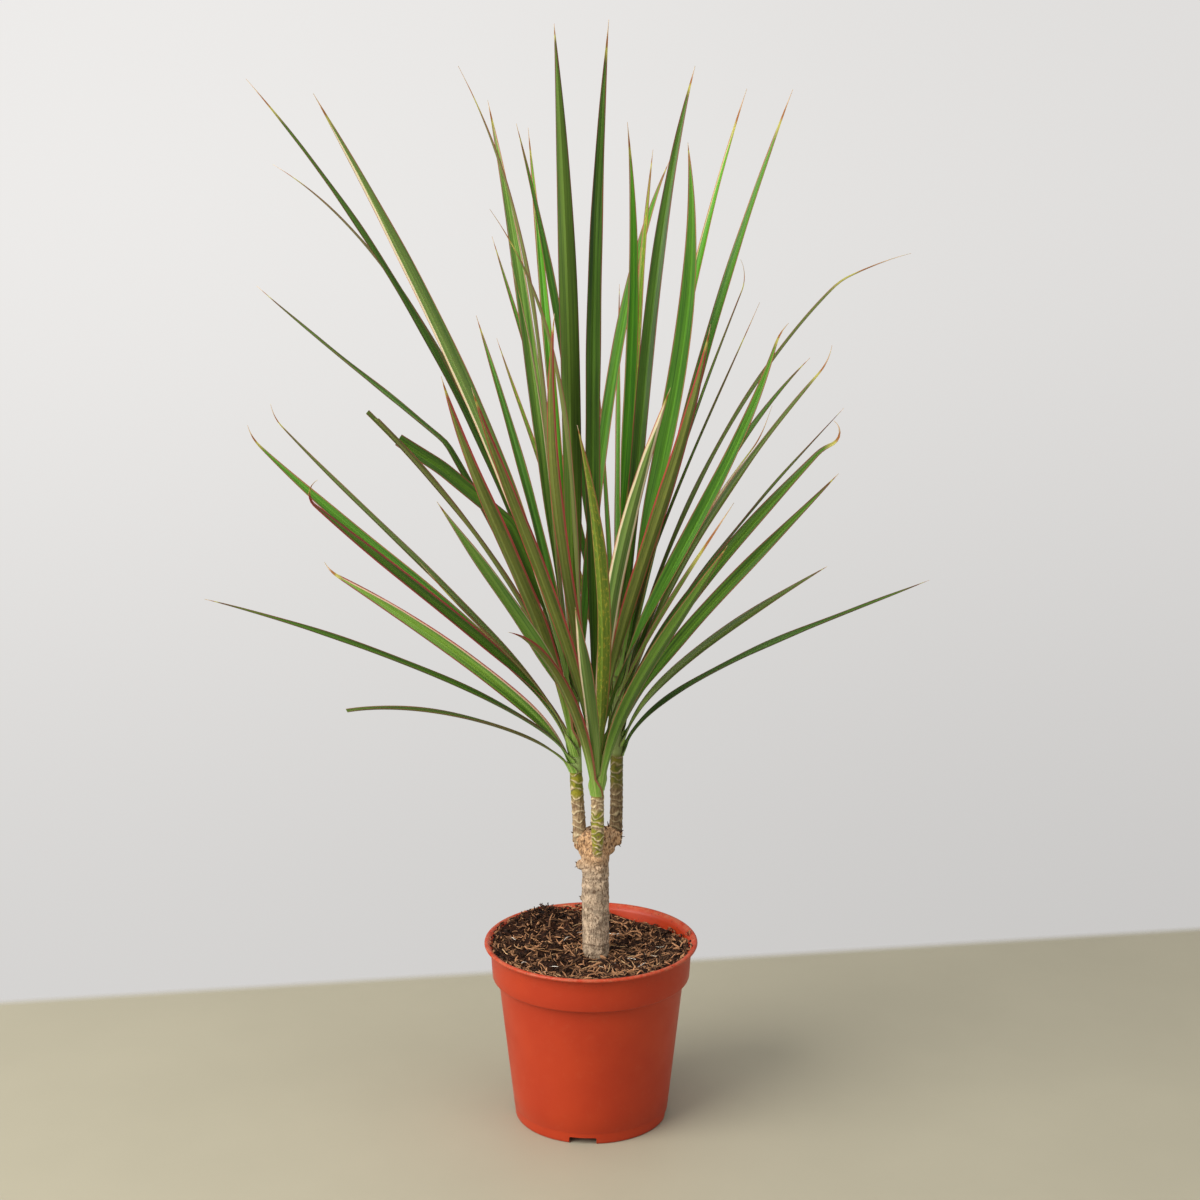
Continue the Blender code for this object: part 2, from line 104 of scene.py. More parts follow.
# The few pale roots and splinters: where each lies, its heading, length and width
ROOTS = (
    (9.0, -27.0, 155.0, 9.0, 0.55), (18.0, -20.0, 25.0, 8.0, 0.45), (24.0, -17.5, 10.0, 6.0, 0.8),
    (36.0, -12.0, 150.0, 9.0, 0.5), (30.0, -31.0, 60.0, 11.0, 0.4), (-29.0, -41.0, 50.0, 8.0, 0.8),
    (-7.0, -53.0, 150.0, 7.5, 0.9), (-40.0, -22.0, 30.0, 4.0, 0.6), (-22.0, -29.0, 170.0, 5.0, 0.5),
    (42.0, 2.0, 20.0, 6.0, 0.5), (-15.0, 16.0, 65.0, 9.0, 0.5), (-8.0, 28.0, 20.0, 6.0, 0.4),
    (20.0, -45.0, 100.0, 5.0, 0.5), (-48.0, 8.0, 130.0, 5.0, 0.5), (14.0, 25.0, 160.0, 7.0, 0.5),
)

# Cane: its centre line, from the buried end to the sawn top, with the radius at each point
CANE = (
    (0.0, -2.0, 40.0, 7.0),
    (1.5, -4.0, 80.0, 8.0),
    (3.0, -5.0, 104.0, 8.2),
    (2.8, -5.0, 135.0, 8.0),
    (2.6, -4.6, 160.0, 8.1),
    (3.2, -3.4, 172.0, 8.8),
    (4.0, -2.0, 183.0, 8.0),
)
# Knobs on the cane: centre and radius
CANE_KNOBS = (
    (-4.0, -1.5, 176.5, 6.3),
    (12.0, 3.0, 176.5, 6.6),
    (4.0, -9.2, 168.0, 5.8),
    (-1.0, -2.5, 170.5, 6.6),
    (9.0, 0.5, 171.0, 5.8),
    (-6.0, -5.5, 161.5, 2.9),
    (-4.6, -6.0, 140.5, 2.0),
    (-7.6, -2.5, 173.0, 2.8),
    (-8.3, -3.0, 178.8, 2.3),
    (16.3, 0.5, 174.6, 2.8),
    (17.4, 1.5, 179.0, 2.2),
    (9.4, -7.0, 172.0, 3.0),
    (-1.2, -8.2, 171.0, 3.2),
    (5.5, -11.5, 161.2, 2.6),
)
# Rings left on the cane by its oldest leaves: height and depth
CANE_RINGS = ((154.0, 0.35), (146.5, 0.15), (131.0, 0.2), (112.0, 0.4), (106.0, 0.2))
CANE_STEPS = 60
# What roughens the cane's bark: name, size and strength in metres
CANE_RELIEF = (("lumps", 0.0075, 0.0013), ("bark", 0.0022, 0.0007), ("grit", 0.0009, 0.00028))
# Torn scraps of bark round the sawn top: where, how long, and the way each points
BARK_SCRAPS = (
    ((-9.6, -3.0, 180.2), 3.2, (-0.9, -0.1, 0.5)),
    ((-9.2, -3.6, 176.0), 2.0, (-1.0, -0.2, -0.2)),
    ((-1.0, -4.4, 182.6), 2.6, (0.5, -0.3, 0.9)),
    ((0.4, -3.6, 182.2), 2.2, (-0.3, -0.4, 0.9)),
    ((-2.4, -5.0, 180.4), 1.8, (0.1, -0.8, 0.7)),
    ((9.2, -2.2, 183.0), 3.0, (-0.5, -0.2, 0.9)),
    ((10.6, -1.6, 184.6), 3.4, (-0.2, 0.1, 1.0)),
    ((17.8, 0.0, 180.4), 2.8, (0.8, -0.3, 0.6)),
    ((18.6, 0.6, 177.2), 2.2, (1.0, -0.2, 0.1)),
    ((17.0, -0.6, 172.4), 1.8, (0.6, -0.4, -0.6)),
    ((-8.4, -6.6, 163.2), 1.7, (-0.8, -0.3, 0.5)),
    ((-8.7, -6.2, 160.6), 1.4, (-0.9, -0.3, -0.3)),
    ((-6.3, -6.8, 141.6), 1.5, (-0.9, -0.2, 0.6)),
    ((0.6, -11.4, 170.2), 1.6, (-0.7, -0.6, 0.2)),
    ((6.8, 4.0, 184.0), 3.0, (0.2, 0.5, 0.9)),
    ((0.6, 4.4, 183.2), 2.6, (-0.4, 0.6, 0.8)),
)

# Shoots: centre line up to the lowest leaf, then the crown's own axis
SHOOTS = {
    "left": ((-6.6, -1.5, 175.0), (-7.2, -1.6, 190.0), (-8.4, -1.8, 208.0), (-9.0, -2.0, 220.0)),
    "front": ((4.0, -10.5, 165.0), (4.0, -13.0, 172.0), (4.0, -14.2, 185.0), (4.0, -14.0, 209.0)),
    "right": ((14.6, 4.0, 175.0), (15.4, 4.6, 190.0), (15.5, 5.0, 208.0), (15.5, 5.0, 228.0)),
}
SHOOT_PAINTED_SHADE = {"left": 1.0, "front": 1.0, "right": 0.52}  # painted shade: the right shoot stands in the other crowns' shadow, so its colour is darkened
SHOOT_SEED = {"left": 2.0, "front": 5.0, "right": 8.0}
SHOOT_RINGS = 260
PAPERY = (197.0, 201.0, 206.0, 208.5)  # heights between which dry skin hides the front shoot's green
# For each shoot: how far apart its leaf scars are, the height its bark turns green at, and over how
# much height
SHOOT_BARK = {"left": (4.8, 203.0, 7.0), "front": (3.4, 171.0, 5.0), "right": (4.4, 209.0, 9.0)}
SHOOT_RADIUS = 3.8
# Radius of each shoot at the first two points of its line
SHOOT_FEET = {"left": (4.3, 3.8), "front": (2.4, 2.9), "right": (4.3, 3.8)}
GROWING_TIP_RADIUS = 1.4
GROWING_TIP_RISE = 4.0

# Leaves
LEAF_PITCH = 3.1
LEAF_START_LEAN = 12.0
LEAF_START_HANDLE = 0.34
LEAF_WAIST = 0.34
LEAF_TIP_HALF_WIDTH = 0.09
LEAF_GAP = 0.7
LEAF_KEEL = 0.30
ROLL_FROM = 0.08
ROLL_TO = 0.5
CURVE_SAMPLES = 120
SHEATH_HALF_WIDTH = 5.4  # half the leaf's base, measured round the stem that it clasps
SHEATH_LENGTH = 26.0
SHEATH_DROP = 0.8  # how far the clasping base reaches down the stem
BLADE_STATIONS = 84
BLADE_CELLS = 10
STRAY = 0.012  # metres that a blade's box may differ from its CAD node's

LEAF_COLUMNS = ("look", "dry", "bearing", "lean", "reach", "droop", "width", "roll")


def leaf_of(*row, **more):
    """A leaf by its columns, with what only some leaves have."""
    return dict(zip(LEAF_COLUMNS, row), **more)


# Every leaf, from the lowest of its crown to the highest: its colouring and the length of its dry tip, then
# the bearing it grows in (degrees from +X), its lean from upright and its reach to the tip, how much further
# the tip leans over, its width and how far the blade rolls about its own length. Some bow sideways, rise
# close to the stem for a given length, are bent (from, to, by), or were cut short.
LEAVES = {
    "left": (
        leaf_of("olive", 0, 215, 68, 159, 22, 6.0, -10, cut=0.75),
        leaf_of("rosy", 16, 160, 56, 196, 10, 9.0, -65, rise=29, bends=((0.94, 1.0, -35),)),
        leaf_of("dark", 9, 198, 62, 239, 10, 8.0, -15, rise=28),
        leaf_of("olive", 22, 145, 51.7, 308, 0, 7.0, 0, rise=50, bends=((0.95, 1.0, -40),)),
        leaf_of("fresh", 18, 176, 45, 270, -2, 9.0, -45, rise=50, bends=((0.95, 1.0, -30),)),
        leaf_of("coral", 14, 239, 29, 264, -5, 10.0, 15),
        leaf_of("plum", 12, 195, 45, 226, 0, 8.5, -55, rise=36, bends=((0.93, 1.0, -110),)),
        leaf_of("dark", 16, 153, 30, 350, 2, 8.0, 5, bends=((0.55, 0.58, 22),)),
        leaf_of("olive", 0, 215, 33, 232, 12, 5.5, 10, cut=0.75),
        leaf_of("olive", 34, 143, 36, 404, 32, 6.5, 20),
        leaf_of("olive", 0, 190, 32, 219, 12, 6.0, -30, cut=0.75),
        leaf_of("fresh", 16, 122, 26.5, 256, 6, 7.0, 0),
        leaf_of("dark", 34, 166, 27.9, 414, 14, 9.0, -10),
        leaf_of("cream", 22, 215, 24.5, 384, 8, 9.5, 45),
        leaf_of("fresh", 14, 68, 26, 349, 26, 8.0, 0),
        leaf_of("dark", 0, 186, 20, 190, 0, 9.0, -70, cut=0.7, bends=((0.55, 0.61, 27), (0.82, 0.88, 8))),
        leaf_of("bright", 22, 108, 15.5, 339, 2, 6.5, 0),
        leaf_of("pale", 20, 160, 8.4, 341, 4, 9.0, -50),
        leaf_of("dark", 10, 253, 5, 374, 1, 11.5, 15, bow=4),
        leaf_of("olive", 34, 192, 10.2, 354, 18, 4.5, 25),
    ),
    "front": (
        leaf_of("coral", 4, 248, 44, 173, 30, 8.0, 0),
        leaf_of("fresh", 8, 300, 38, 213, 5, 9.0, -20),
        leaf_of("cream", 4, 262, 33, 149, 6, 8.5, -10),
        leaf_of("dark", 8, 330, 37, 242, 6, 8.5, 80),
        leaf_of("pale", 12, 220, 32, 206, 4, 10.5, -80),
        leaf_of("spotted", 10, 266, 32, 261, -2, 9.0, -25, bow=10),
        leaf_of("dark", 22, 348, 34, 250, 8, 9.0, 65, bends=((0.9, 0.93, 20), (0.94, 1.0, -120))),
        leaf_of("coral", 14, 233, 25, 252, 0, 8.5, 25),
        leaf_of("olive", 55, 330, 28.2, 178, 5, 4.0, 65),
        leaf_of("ivory", 14, 292, 24, 244, 2, 9.5, -20, bow=-9),
        leaf_of("coral", 12, 250, 14, 264, -8, 8.0, -5, bow=-10),
        leaf_of("fresh", 16, 340, 23, 269, -9, 9.0, 80, bends=((0.95, 1.0, 30),)),
        leaf_of("olive", 34, 210, 12, 311, 26, 5.0, 5),
        leaf_of("coral", 18, 312, 20, 257, -6, 9.5, -25),
        leaf_of("dark", 24, 110, -3, 399, 0, 9.5, 0, bow=8),
    ),
    "right": (
        leaf_of("dark", 8, 23, 67, 229, 7, 8.0, 0, rise=42),
        leaf_of("fresh", 8, 94, 36, 250, 5, 4.5, 40),
        leaf_of("olive", 5, 10, 50, 162, 10, 8.0, 25, rise=38),
        leaf_of("spotted", 16, 118, 35, 278, 3, 6.0, 20),
        leaf_of("dark", 8, 37, 44, 255, 10, 5.5, -25),
        leaf_of("fresh", 8, 80, 30, 255, 3, 5.5, -40),
        leaf_of("dark", 16, 47, 41, 274, 20, 7.0, 0),
        leaf_of("olive", 30, 12, 31, 254, 12, 7.0, 20, bends=((0.93, 1.0, -35),)),
        leaf_of("fresh", 8, 89, 28, 280, 0, 4.5, -40),
        leaf_of("olive", 70, 28, 35.2, 341, 28, 5.0, 0, bends=((0.83, 0.87, 16),)),
        leaf_of("fresh", 16, 128, 24, 298, 3, 6.0, 0),
        leaf_of("dark", 26, 43, 23.6, 278, 7, 4.5, -25, bends=((0.93, 1.0, -70),)),
        leaf_of("fresh", 30, 0, 15.2, 363, 5, 8.5, 40),
        leaf_of("spotted", 14, 72, 12, 322, 8, 6.5, -15),
        leaf_of("bright", 34, 25, 13, 355, 7, 7.5, 15),
        leaf_of("fresh", 14, 153, 11, 329, 5, 8.0, -15),
        leaf_of("fresh", 8, 345, 7, 311, -14, 12.0, 80),
        leaf_of("dark", 22, 57, 13.3, 361, 14, 9.0, 20),
        leaf_of("bright", 22, 200, -1.5, 314, 7, 8.5, -80),
    ),
}

# A few dried threads of leaf that lie between the crowns' blades, too fine to have a CAD node
DRY_THREADS = (
    leaf_of("straw", 60, 50, 45, 225, 12, 2.4, 0, crown="right", height=30.0, bends=((0.86, 0.95, -25),)),
    leaf_of("dark", 40, 40, 27, 245, 4, 2.6, 0, crown="right", height=46.0),
    leaf_of("olive", 40, 226, 41, 176, 0, 2.6, 0, crown="left", height=10.0),
    leaf_of("straw", 30, 168, 8, 250, 8, 2.6, 0, crown="left", height=52.0),
)


def look_of(upper, under, margin, stripe, side=0, spots=0.0):
    """How a kind of leaf is coloured: the dark and light green of its two sides, the width and colour of its
    margin and of the stripe inside the margin, the side that the stripe is on (-1 or 1, or 0 for both), and
    how spotted it is."""
    (width, margin), (stripe_width, stripe) = margin, stripe
    return dict(
        upper=upper, under=under, width=width, margin=margin, stripe_width=stripe_width, stripe=stripe,
        side=side, spots=spots,
    )


LOOKS = {
    "dark": look_of(
        ((0.020, 0.052, 0.005), (0.072, 0.155, 0.013)),
        ((0.040, 0.080, 0.007), (0.092, 0.160, 0.015)),
        (0.40, (0.20, 0.055, 0.025)), (0.15, (0.08, 0.09, 0.03)),
    ),
    "fresh": look_of(
        ((0.028, 0.097, 0.008), (0.096, 0.251, 0.022)),
        ((0.051, 0.114, 0.012), (0.122, 0.228, 0.028)),
        (0.42, (0.34, 0.120, 0.050)), (0.15, (0.20, 0.20, 0.06)),
    ),
    "bright": look_of(
        ((0.032, 0.137, 0.006), (0.109, 0.342, 0.017)),
        ((0.051, 0.148, 0.010), (0.128, 0.308, 0.025)),
        (0.40, (0.44, 0.150, 0.060)), (0.45, (0.50, 0.45, 0.18)), side=1,
    ),
    "pale": look_of(
        ((0.064, 0.171, 0.022), (0.218, 0.376, 0.061)),
        ((0.077, 0.160, 0.025), (0.192, 0.308, 0.055)),
        (0.35, (0.42, 0.160, 0.080)), (0.25, (0.45, 0.42, 0.22)),
    ),
    "rosy": look_of(
        ((0.040, 0.110, 0.009), (0.150, 0.270, 0.030)),
        ((0.050, 0.105, 0.012), (0.145, 0.240, 0.030)),
        (0.60, (0.32, 0.050, 0.045)), (0.7, (0.56, 0.36, 0.24)), side=-1,
    ),
    "cream": look_of(
        ((0.038, 0.125, 0.017), (0.166, 0.319, 0.055)),
        ((0.070, 0.137, 0.028), (0.166, 0.251, 0.055)),
        (0.40, (0.50, 0.190, 0.110)), (1.3, (0.78, 0.66, 0.42)), side=-1,
    ),
    "coral": look_of(
        ((0.051, 0.108, 0.012), (0.141, 0.217, 0.028)),
        ((0.070, 0.097, 0.015), (0.166, 0.194, 0.036)),
        (0.75, (0.46, 0.055, 0.050)), (0.35, (0.30, 0.10, 0.06)), side=1, spots=0.12,
    ),
    "plum": look_of(
        ((0.028, 0.068, 0.007), (0.070, 0.148, 0.012)),
        ((0.058, 0.063, 0.012), (0.128, 0.125, 0.028)),
        (0.65, (0.34, 0.045, 0.045)), (0.5, (0.16, 0.05, 0.03)),
    ),
    "spotted": look_of(
        ((0.051, 0.125, 0.008), (0.166, 0.274, 0.017)),
        ((0.070, 0.137, 0.011), (0.179, 0.251, 0.025)),
        (0.42, (0.36, 0.120, 0.045)), (0.2, (0.30, 0.26, 0.06)), spots=0.75,
    ),
    "olive": look_of(
        ((0.036, 0.068, 0.009), (0.102, 0.142, 0.022)),
        ((0.070, 0.085, 0.019), (0.166, 0.182, 0.047)),
        (0.35, (0.24, 0.085, 0.035)), (0.15, (0.14, 0.12, 0.06)),
    ),
    "straw": look_of(
        ((0.307, 0.296, 0.055), (0.520, 0.460, 0.260)),
        ((0.240, 0.240, 0.100), (0.480, 0.420, 0.240)),
        (0.30, (0.36, 0.16, 0.08)), (0.3, (0.60, 0.50, 0.30)), spots=0.2,
    ),
}
# Ivory is cream with a narrower stripe along both margins.
LOOKS["ivory"] = dict(LOOKS["cream"], side=0, stripe_width=1.0)

# Stage, in metres
FLOOR_RADIUS = 0.9
FLOOR_EDGE = 0.229  # from the pot's axis to the floor's far edge
FLOOR_EDGE_TURN = math.radians(9.15)
CAMERA_PLACE = (0.0055, -1.170, 0.570)
CAMERA_TILT = 11.9  # degrees below level
CAMERA_LENS = 60.9
SENSOR_WIDTH = 36.0
LIGHT_AIM = (0.0, 0.0, 0.25)
# The soft lights: name, place, size, share of the key light's power, and colour
LIGHTS = (
    ("key", (-1.38, -0.98, 1.25), 1.7, 1.0, (1.0, 0.98, 0.95)),
    ("top", (-0.10, -0.30, 1.80), 1.6, 0.28, (1.0, 0.99, 0.98)),
    ("fill", (1.3, -0.9, 0.8), 1.2, 0.06, (0.96, 0.98, 1.0)),
)
# Painted shade on the wall, which darkens to the right and downwards: axis, where it starts and ends, and the
# share lost
WALL_PAINTED_SHADE = (("X", -0.30, 0.36, 0.13), ("Z", 0.02, -0.42, 0.22))
SURROUNDINGS = (0.98, 0.98, 1.0)
SURROUNDINGS_STRENGTH = 0.40


def colour_property(name, description, default):
    return FloatVectorProperty(
        name=name, description=description, subtype="COLOR", size=3, min=0.0, max=1.0, default=default
    )


def share_property(name, description, default):
    return FloatProperty(
        name=name, description=description, subtype="FACTOR", min=0.0, max=1.0, default=default
    )


def length_property(name, description, low, high, default):
    return FloatProperty(
        name=name, description=description, subtype="DISTANCE", unit="LENGTH",
        min=low, max=high, default=default,
    )


class PotSettings(bpy.types.PropertyGroup):
    colour: colour_property("Plastic", "Colour of the moulded plastic", (0.475, 0.044, 0.0105))
    roughness: share_property("Roughness", "Roughness of the plastic", 0.40)
    steps: IntProperty(name="Steps", description="Sides of the turned pot", min=32, max=256, default=144)


class MixSettings(bpy.types.PropertyGroup):
    colour: colour_property("Coir", "Colour of the loose brown fibres", (0.16, 0.052, 0.020))
    crumbs: IntProperty(name="Crumbs", description="Dark crumbs on the mix", min=0, max=4000, default=1900)
    fibres: IntProperty(name="Fibres", description="Coir fibres on the mix", min=0, max=4000, default=1500)
    long_fibres: IntProperty(name="Long fibres", description="Long pale fibres", min=0, max=400, default=90)
    chips: IntProperty(name="Chips", description="Chips of bark and coir", min=0, max=400, default=170)


class StemSettings(bpy.types.PropertyGroup):
    bark: colour_property("Bark", "Light colour of the old cane's bark", (0.64, 0.48, 0.325))
    green: colour_property("Young stem", "Green between the young stem's leaf scars", (0.140, 0.160, 0.009))
    voxel: length_property("Cane voxel", "Voxel that the cane is fused at", 0.0003, 0.002, 0.0005)


class LeafSettings(bpy.types.PropertyGroup):
    thickness: length_property("Thickness", "Thickness of a blade at its midrib", 0.0002, 0.001, 0.0005)
    roughness: share_property("Roughness", "Roughness of the blades", 0.42)
    brightness: FloatProperty(
        name="Brightness", description="Scales every green of the leaves", min=0.5, max=2.0, default=1.0,
    )


class StageSettings(bpy.types.PropertyGroup):
    floor: colour_property("Floor", "Colour of the floor", (0.40, 0.367, 0.268))
    backdrop: colour_property("Backdrop", "Colour of the plain backdrop", (0.85, 0.835, 0.82))
    key_power: FloatProperty(
        name="Key light", description="Power of the soft key light", unit="POWER",
        min=0.0, max=200.0, default=49.0,
    )


def deselect_all():
    bpy.ops.object.select_all(action="DESELECT")


def only(obj):
    """Leaves this object alone selected and active."""
    deselect_all()
    bpy.context.view_layer.objects.active = obj
    obj.select_set(True)


def edit_all():
    bpy.ops.object.mode_set(mode="EDIT")
    bpy.ops.mesh.select_all(action="SELECT")


def made(name):
    """The primitive that was just added, under its own name."""
    obj = bpy.context.active_object
    obj.name = name
    obj.data.name = name
    return obj


def at_origin(obj):
    """Puts the object's place in its mesh."""
    only(obj)
    bpy.ops.object.transform_apply(location=True, rotation=True, scale=True)


def apply_modifiers(obj):
    only(obj)
    for modifier in list(obj.modifiers):
        bpy.ops.object.modifier_apply(modifier=modifier.name)


def weld(obj, distance=0.00001, outwards=True):
    only(obj)
    edit_all()
    bpy.ops.mesh.remove_doubles(threshold=distance)
    if outwards:
        bpy.ops.mesh.normals_make_consistent(inside=False)
    bpy.ops.object.mode_set(mode="OBJECT")


def smooth(obj, degrees=35.0):
    only(obj)
    bpy.ops.object.shade_smooth_by_angle(angle=math.radians(degrees))


def joined(pieces, name):
    deselect_all()
    for piece in pieces:
        piece.select_set(True)
    bpy.context.view_layer.objects.active = pieces[0]
    bpy.ops.object.join()
    at_origin(bpy.context.active_object)
    return made(name)


def remove(obj):
    mesh = obj.data
    bpy.data.objects.remove(obj, do_unlink=True)
    bpy.data.meshes.remove(mesh)


def grown_rings(name, rings, sides, caps=True):
    """A tube grown from a circle: each next ring is extruded, moved and resized.

    A ring is (x, y, z, radius).
    """
    x, y, z, radius = rings[0]
    deselect_all()
    fill = "NGON" if caps else "NOTHING"
    bpy.ops.mesh.primitive_circle_add(
        vertices=sides, radius=radius * MM, fill_type=fill, location=(x * MM, y * MM, z * MM)
    )
    obj = made(name)
    edit_all()
    for nx, ny, nz, new_radius in rings[1:]:
        move = ((nx - x) * MM, (ny - y) * MM, (nz - z) * MM)
        bpy.ops.mesh.extrude_region_move(TRANSFORM_OT_translate={"value": move})
        scale = new_radius / radius
        bpy.ops.transform.resize(value=(scale, scale, 1.0), center_override=(nx * MM, ny * MM, nz * MM))
        x, y, z, radius = nx, ny, nz, new_radius
    bpy.ops.mesh.select_all(action="SELECT")
    bpy.ops.mesh.remove_doubles(threshold=0.000001)
    bpy.ops.mesh.normals_make_consistent(inside=False)
    bpy.ops.object.mode_set(mode="OBJECT")
    at_origin(obj)
    return obj


def along_line(line, share):
    """Point at this share of a list of points."""
    place = share * (len(line) - 1)
    i = min(int(place), len(line) - 2)
    return line[i].lerp(line[i + 1], place - i)


def eased(value, low, high):
    """0 below low, 1 above high, smooth between."""
    t = min(max((value - low) / (high - low), 0.0), 1.0)
    return t * t * (3.0 - 2.0 * t)


def scaled(colour, *factors, lift=0.0):
    """The colour times one factor, or one for each channel, then lifted."""
    factors = factors if len(factors) == 3 else factors * 3
    return tuple(min(1.0, c * k + lift) for c, k in zip(colour, factors))


def point_values(obj, name, kind, values):
    attribute = obj.data.attributes.new(name, kind, "POINT")
    flat = [number for value in values for number in value] if kind == "FLOAT_VECTOR" else values
    attribute.data.foreach_set("vector" if kind == "FLOAT_VECTOR" else "value", flat)


def rides(obj, slot, *nodes):
    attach(obj, "root")
    if nodes:
        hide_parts(*nodes)


# Materials


class Nodes:
    """Short names for adding and joining a material's nodes."""

    def __init__(self, name):
        self.material = bpy.data.materials.new(name)
        self.material.use_nodes = True
        self.tree = self.material.node_tree
        self.shader = self.tree.nodes["Principled BSDF"]

    def add(self, kind, inputs=None, **settings):
        made_node = self.tree.nodes.new(kind)
        for key, value in settings.items():
            setattr(made_node, key, value)
        for key, value in (inputs or {}).items():
            self.put(made_node.inputs[key], value)
        return made_node

    def put(self, socket, value):
        if isinstance(value, bpy.types.NodeSocket):
            self.tree.links.new(value, socket)
        elif isinstance(value, tuple) and len(value) == 3 and socket.type == "RGBA":
            socket.default_value = (*value, 1.0)
        else:
            socket.default_value = value

    def place(self, scale=(1.0, 1.0, 1.0), turn=(0.0, 0.0, 0.0)):
        """Object coordinates in metres, scaled and turned."""
        coords = self.add("ShaderNodeTexCoord").outputs["Object"]
        inputs = {"Vector": coords, "Scale": scale, "Rotation": turn}
        return self.add("ShaderNodeMapping", inputs).outputs["Vector"]

    def value(self, name, part="Fac"):
        return self.add("ShaderNodeAttribute", attribute_name=name).outputs[part]

    def noise(self, vector, scale, detail=3.0, roughness=0.55, distortion=0.0):
        inputs = {"Vector": vector, "Scale": scale, "Detail": detail, "Roughness": roughness}
        inputs["Distortion"] = distortion
        return self.add("ShaderNodeTexNoise", inputs).outputs["Fac"]

    def span(self, value, low, high, to_low=0.0, to_high=1.0):
        inputs = {"Value": value, "From Min": low, "From Max": high, "To Min": to_low, "To Max": to_high}
        return self.add("ShaderNodeMapRange", inputs, interpolation_type="SMOOTHSTEP").outputs["Result"]

    def maths(self, operation, a, b=0.0):
        return self.add("ShaderNodeMath", {0: a, 1: b}, operation=operation).outputs[0]

    def times(self, a, b):
        return self.maths("MULTIPLY", a, b)

    def plus(self, a, b):
        return self.maths("ADD", a, b)

    def height(self, place):
        return self.add("ShaderNodeSeparateXYZ", {"Vector": place}).outputs["Z"]

    def mix(self, factor, a, b, blend="MIX"):
        mixer = self.add("ShaderNodeMix", data_type="RGBA", blend_type=blend)
        self.put(mixer.inputs["Factor"], factor)
        self.put(mixer.inputs[6], a)
        self.put(mixer.inputs[7], b)
        return mixer.outputs[2]

    def bump(self, height, strength, distance, normal=None):
        inputs = {"Height": height, "Strength": strength, "Distance": distance}
        if normal:
            inputs["Normal"] = normal
        return self.add("ShaderNodeBump", inputs).outputs["Normal"]

    def finish(self, colour, roughness, normal=None, **constants):
        self.put(self.shader.inputs["Base Color"], colour)
        self.put(self.shader.inputs["Roughness"], roughness)
        if normal:
            self.put(self.shader.inputs["Normal"], normal)
        for key, value in constants.items():
            self.shader.inputs[key.replace("_", " ")].default_value = value
        return self.material


def terracotta_plastic(colour, roughness):
    n = Nodes("terracotta_plastic")
    place = n.place()
    height = n.height(place)
    cloud = n.noise(place, 22.0, 3.0)
    fine = n.noise(n.place(scale=(1.0, 1.0, 0.25)), 900.0, 3.0, 0.6)
    base = n.mix(n.span(cloud, 0.3, 0.7), colour, scaled(colour, 0.90, 0.80, 0.80))
    dusty = scaled(colour, 1.0, 1.9, 2.4, lift=0.02)
    scuff = n.times(n.span(n.noise(place, 160.0, 6.0, 0.7), 0.52, 0.75), 0.14)
    base = n.mix(scuff, base, dusty)
    # The lip's edge is rubbed paler, with specks of mix on it.
    worn = n.span(n.noise(place, 210.0, 4.0, 0.6), 0.35, 0.65)
    rubbed = n.times(n.span(height, 0.1096, 0.1112), worn)
    base = n.mix(n.times(rubbed, 0.7), base, scaled(colour, 0.95, 2.2, 3.0, lift=0.03))
    specks = n.times(n.span(n.noise(place, 750.0, 2.0, 0.4), 0.68, 0.72), n.span(height, 0.100, 0.111))
    base = n.mix(n.times(specks, 0.8), base, (0.05, 0.02, 0.012))
    gloss = n.span(cloud, 0.3, 0.7, roughness - 0.04, roughness + 0.08)
    normal = n.bump(fine, 0.10, 0.0002, n.bump(cloud, 0.12, 0.001))
    return n.finish(base, gloss, normal, Specular_IOR_Level=0.28)


def mix_material(name, dark, light, scale, roughness=0.9, tinted=True):
    """Loose brown matter: each piece has its own tint, and is mottled along its length."""
    n = Nodes(name)
    place = n.place()
    mottle = n.noise(place, scale, 5.0, 0.65)
    shade = mottle
    if tinted:
        own = n.maths("POWER", n.value("tint"), 1.5)
        shade = n.plus(n.times(mottle, 0.45), n.times(own, 0.75))
    base = n.mix(n.span(shade, 0.22, 1.0), dark, light)
    normal = n.bump(n.noise(place, scale * 3.0, 4.0, 0.7), 0.6, 0.0004)
    return n.finish(base, roughness, normal, Specular_IOR_Level=0.25)


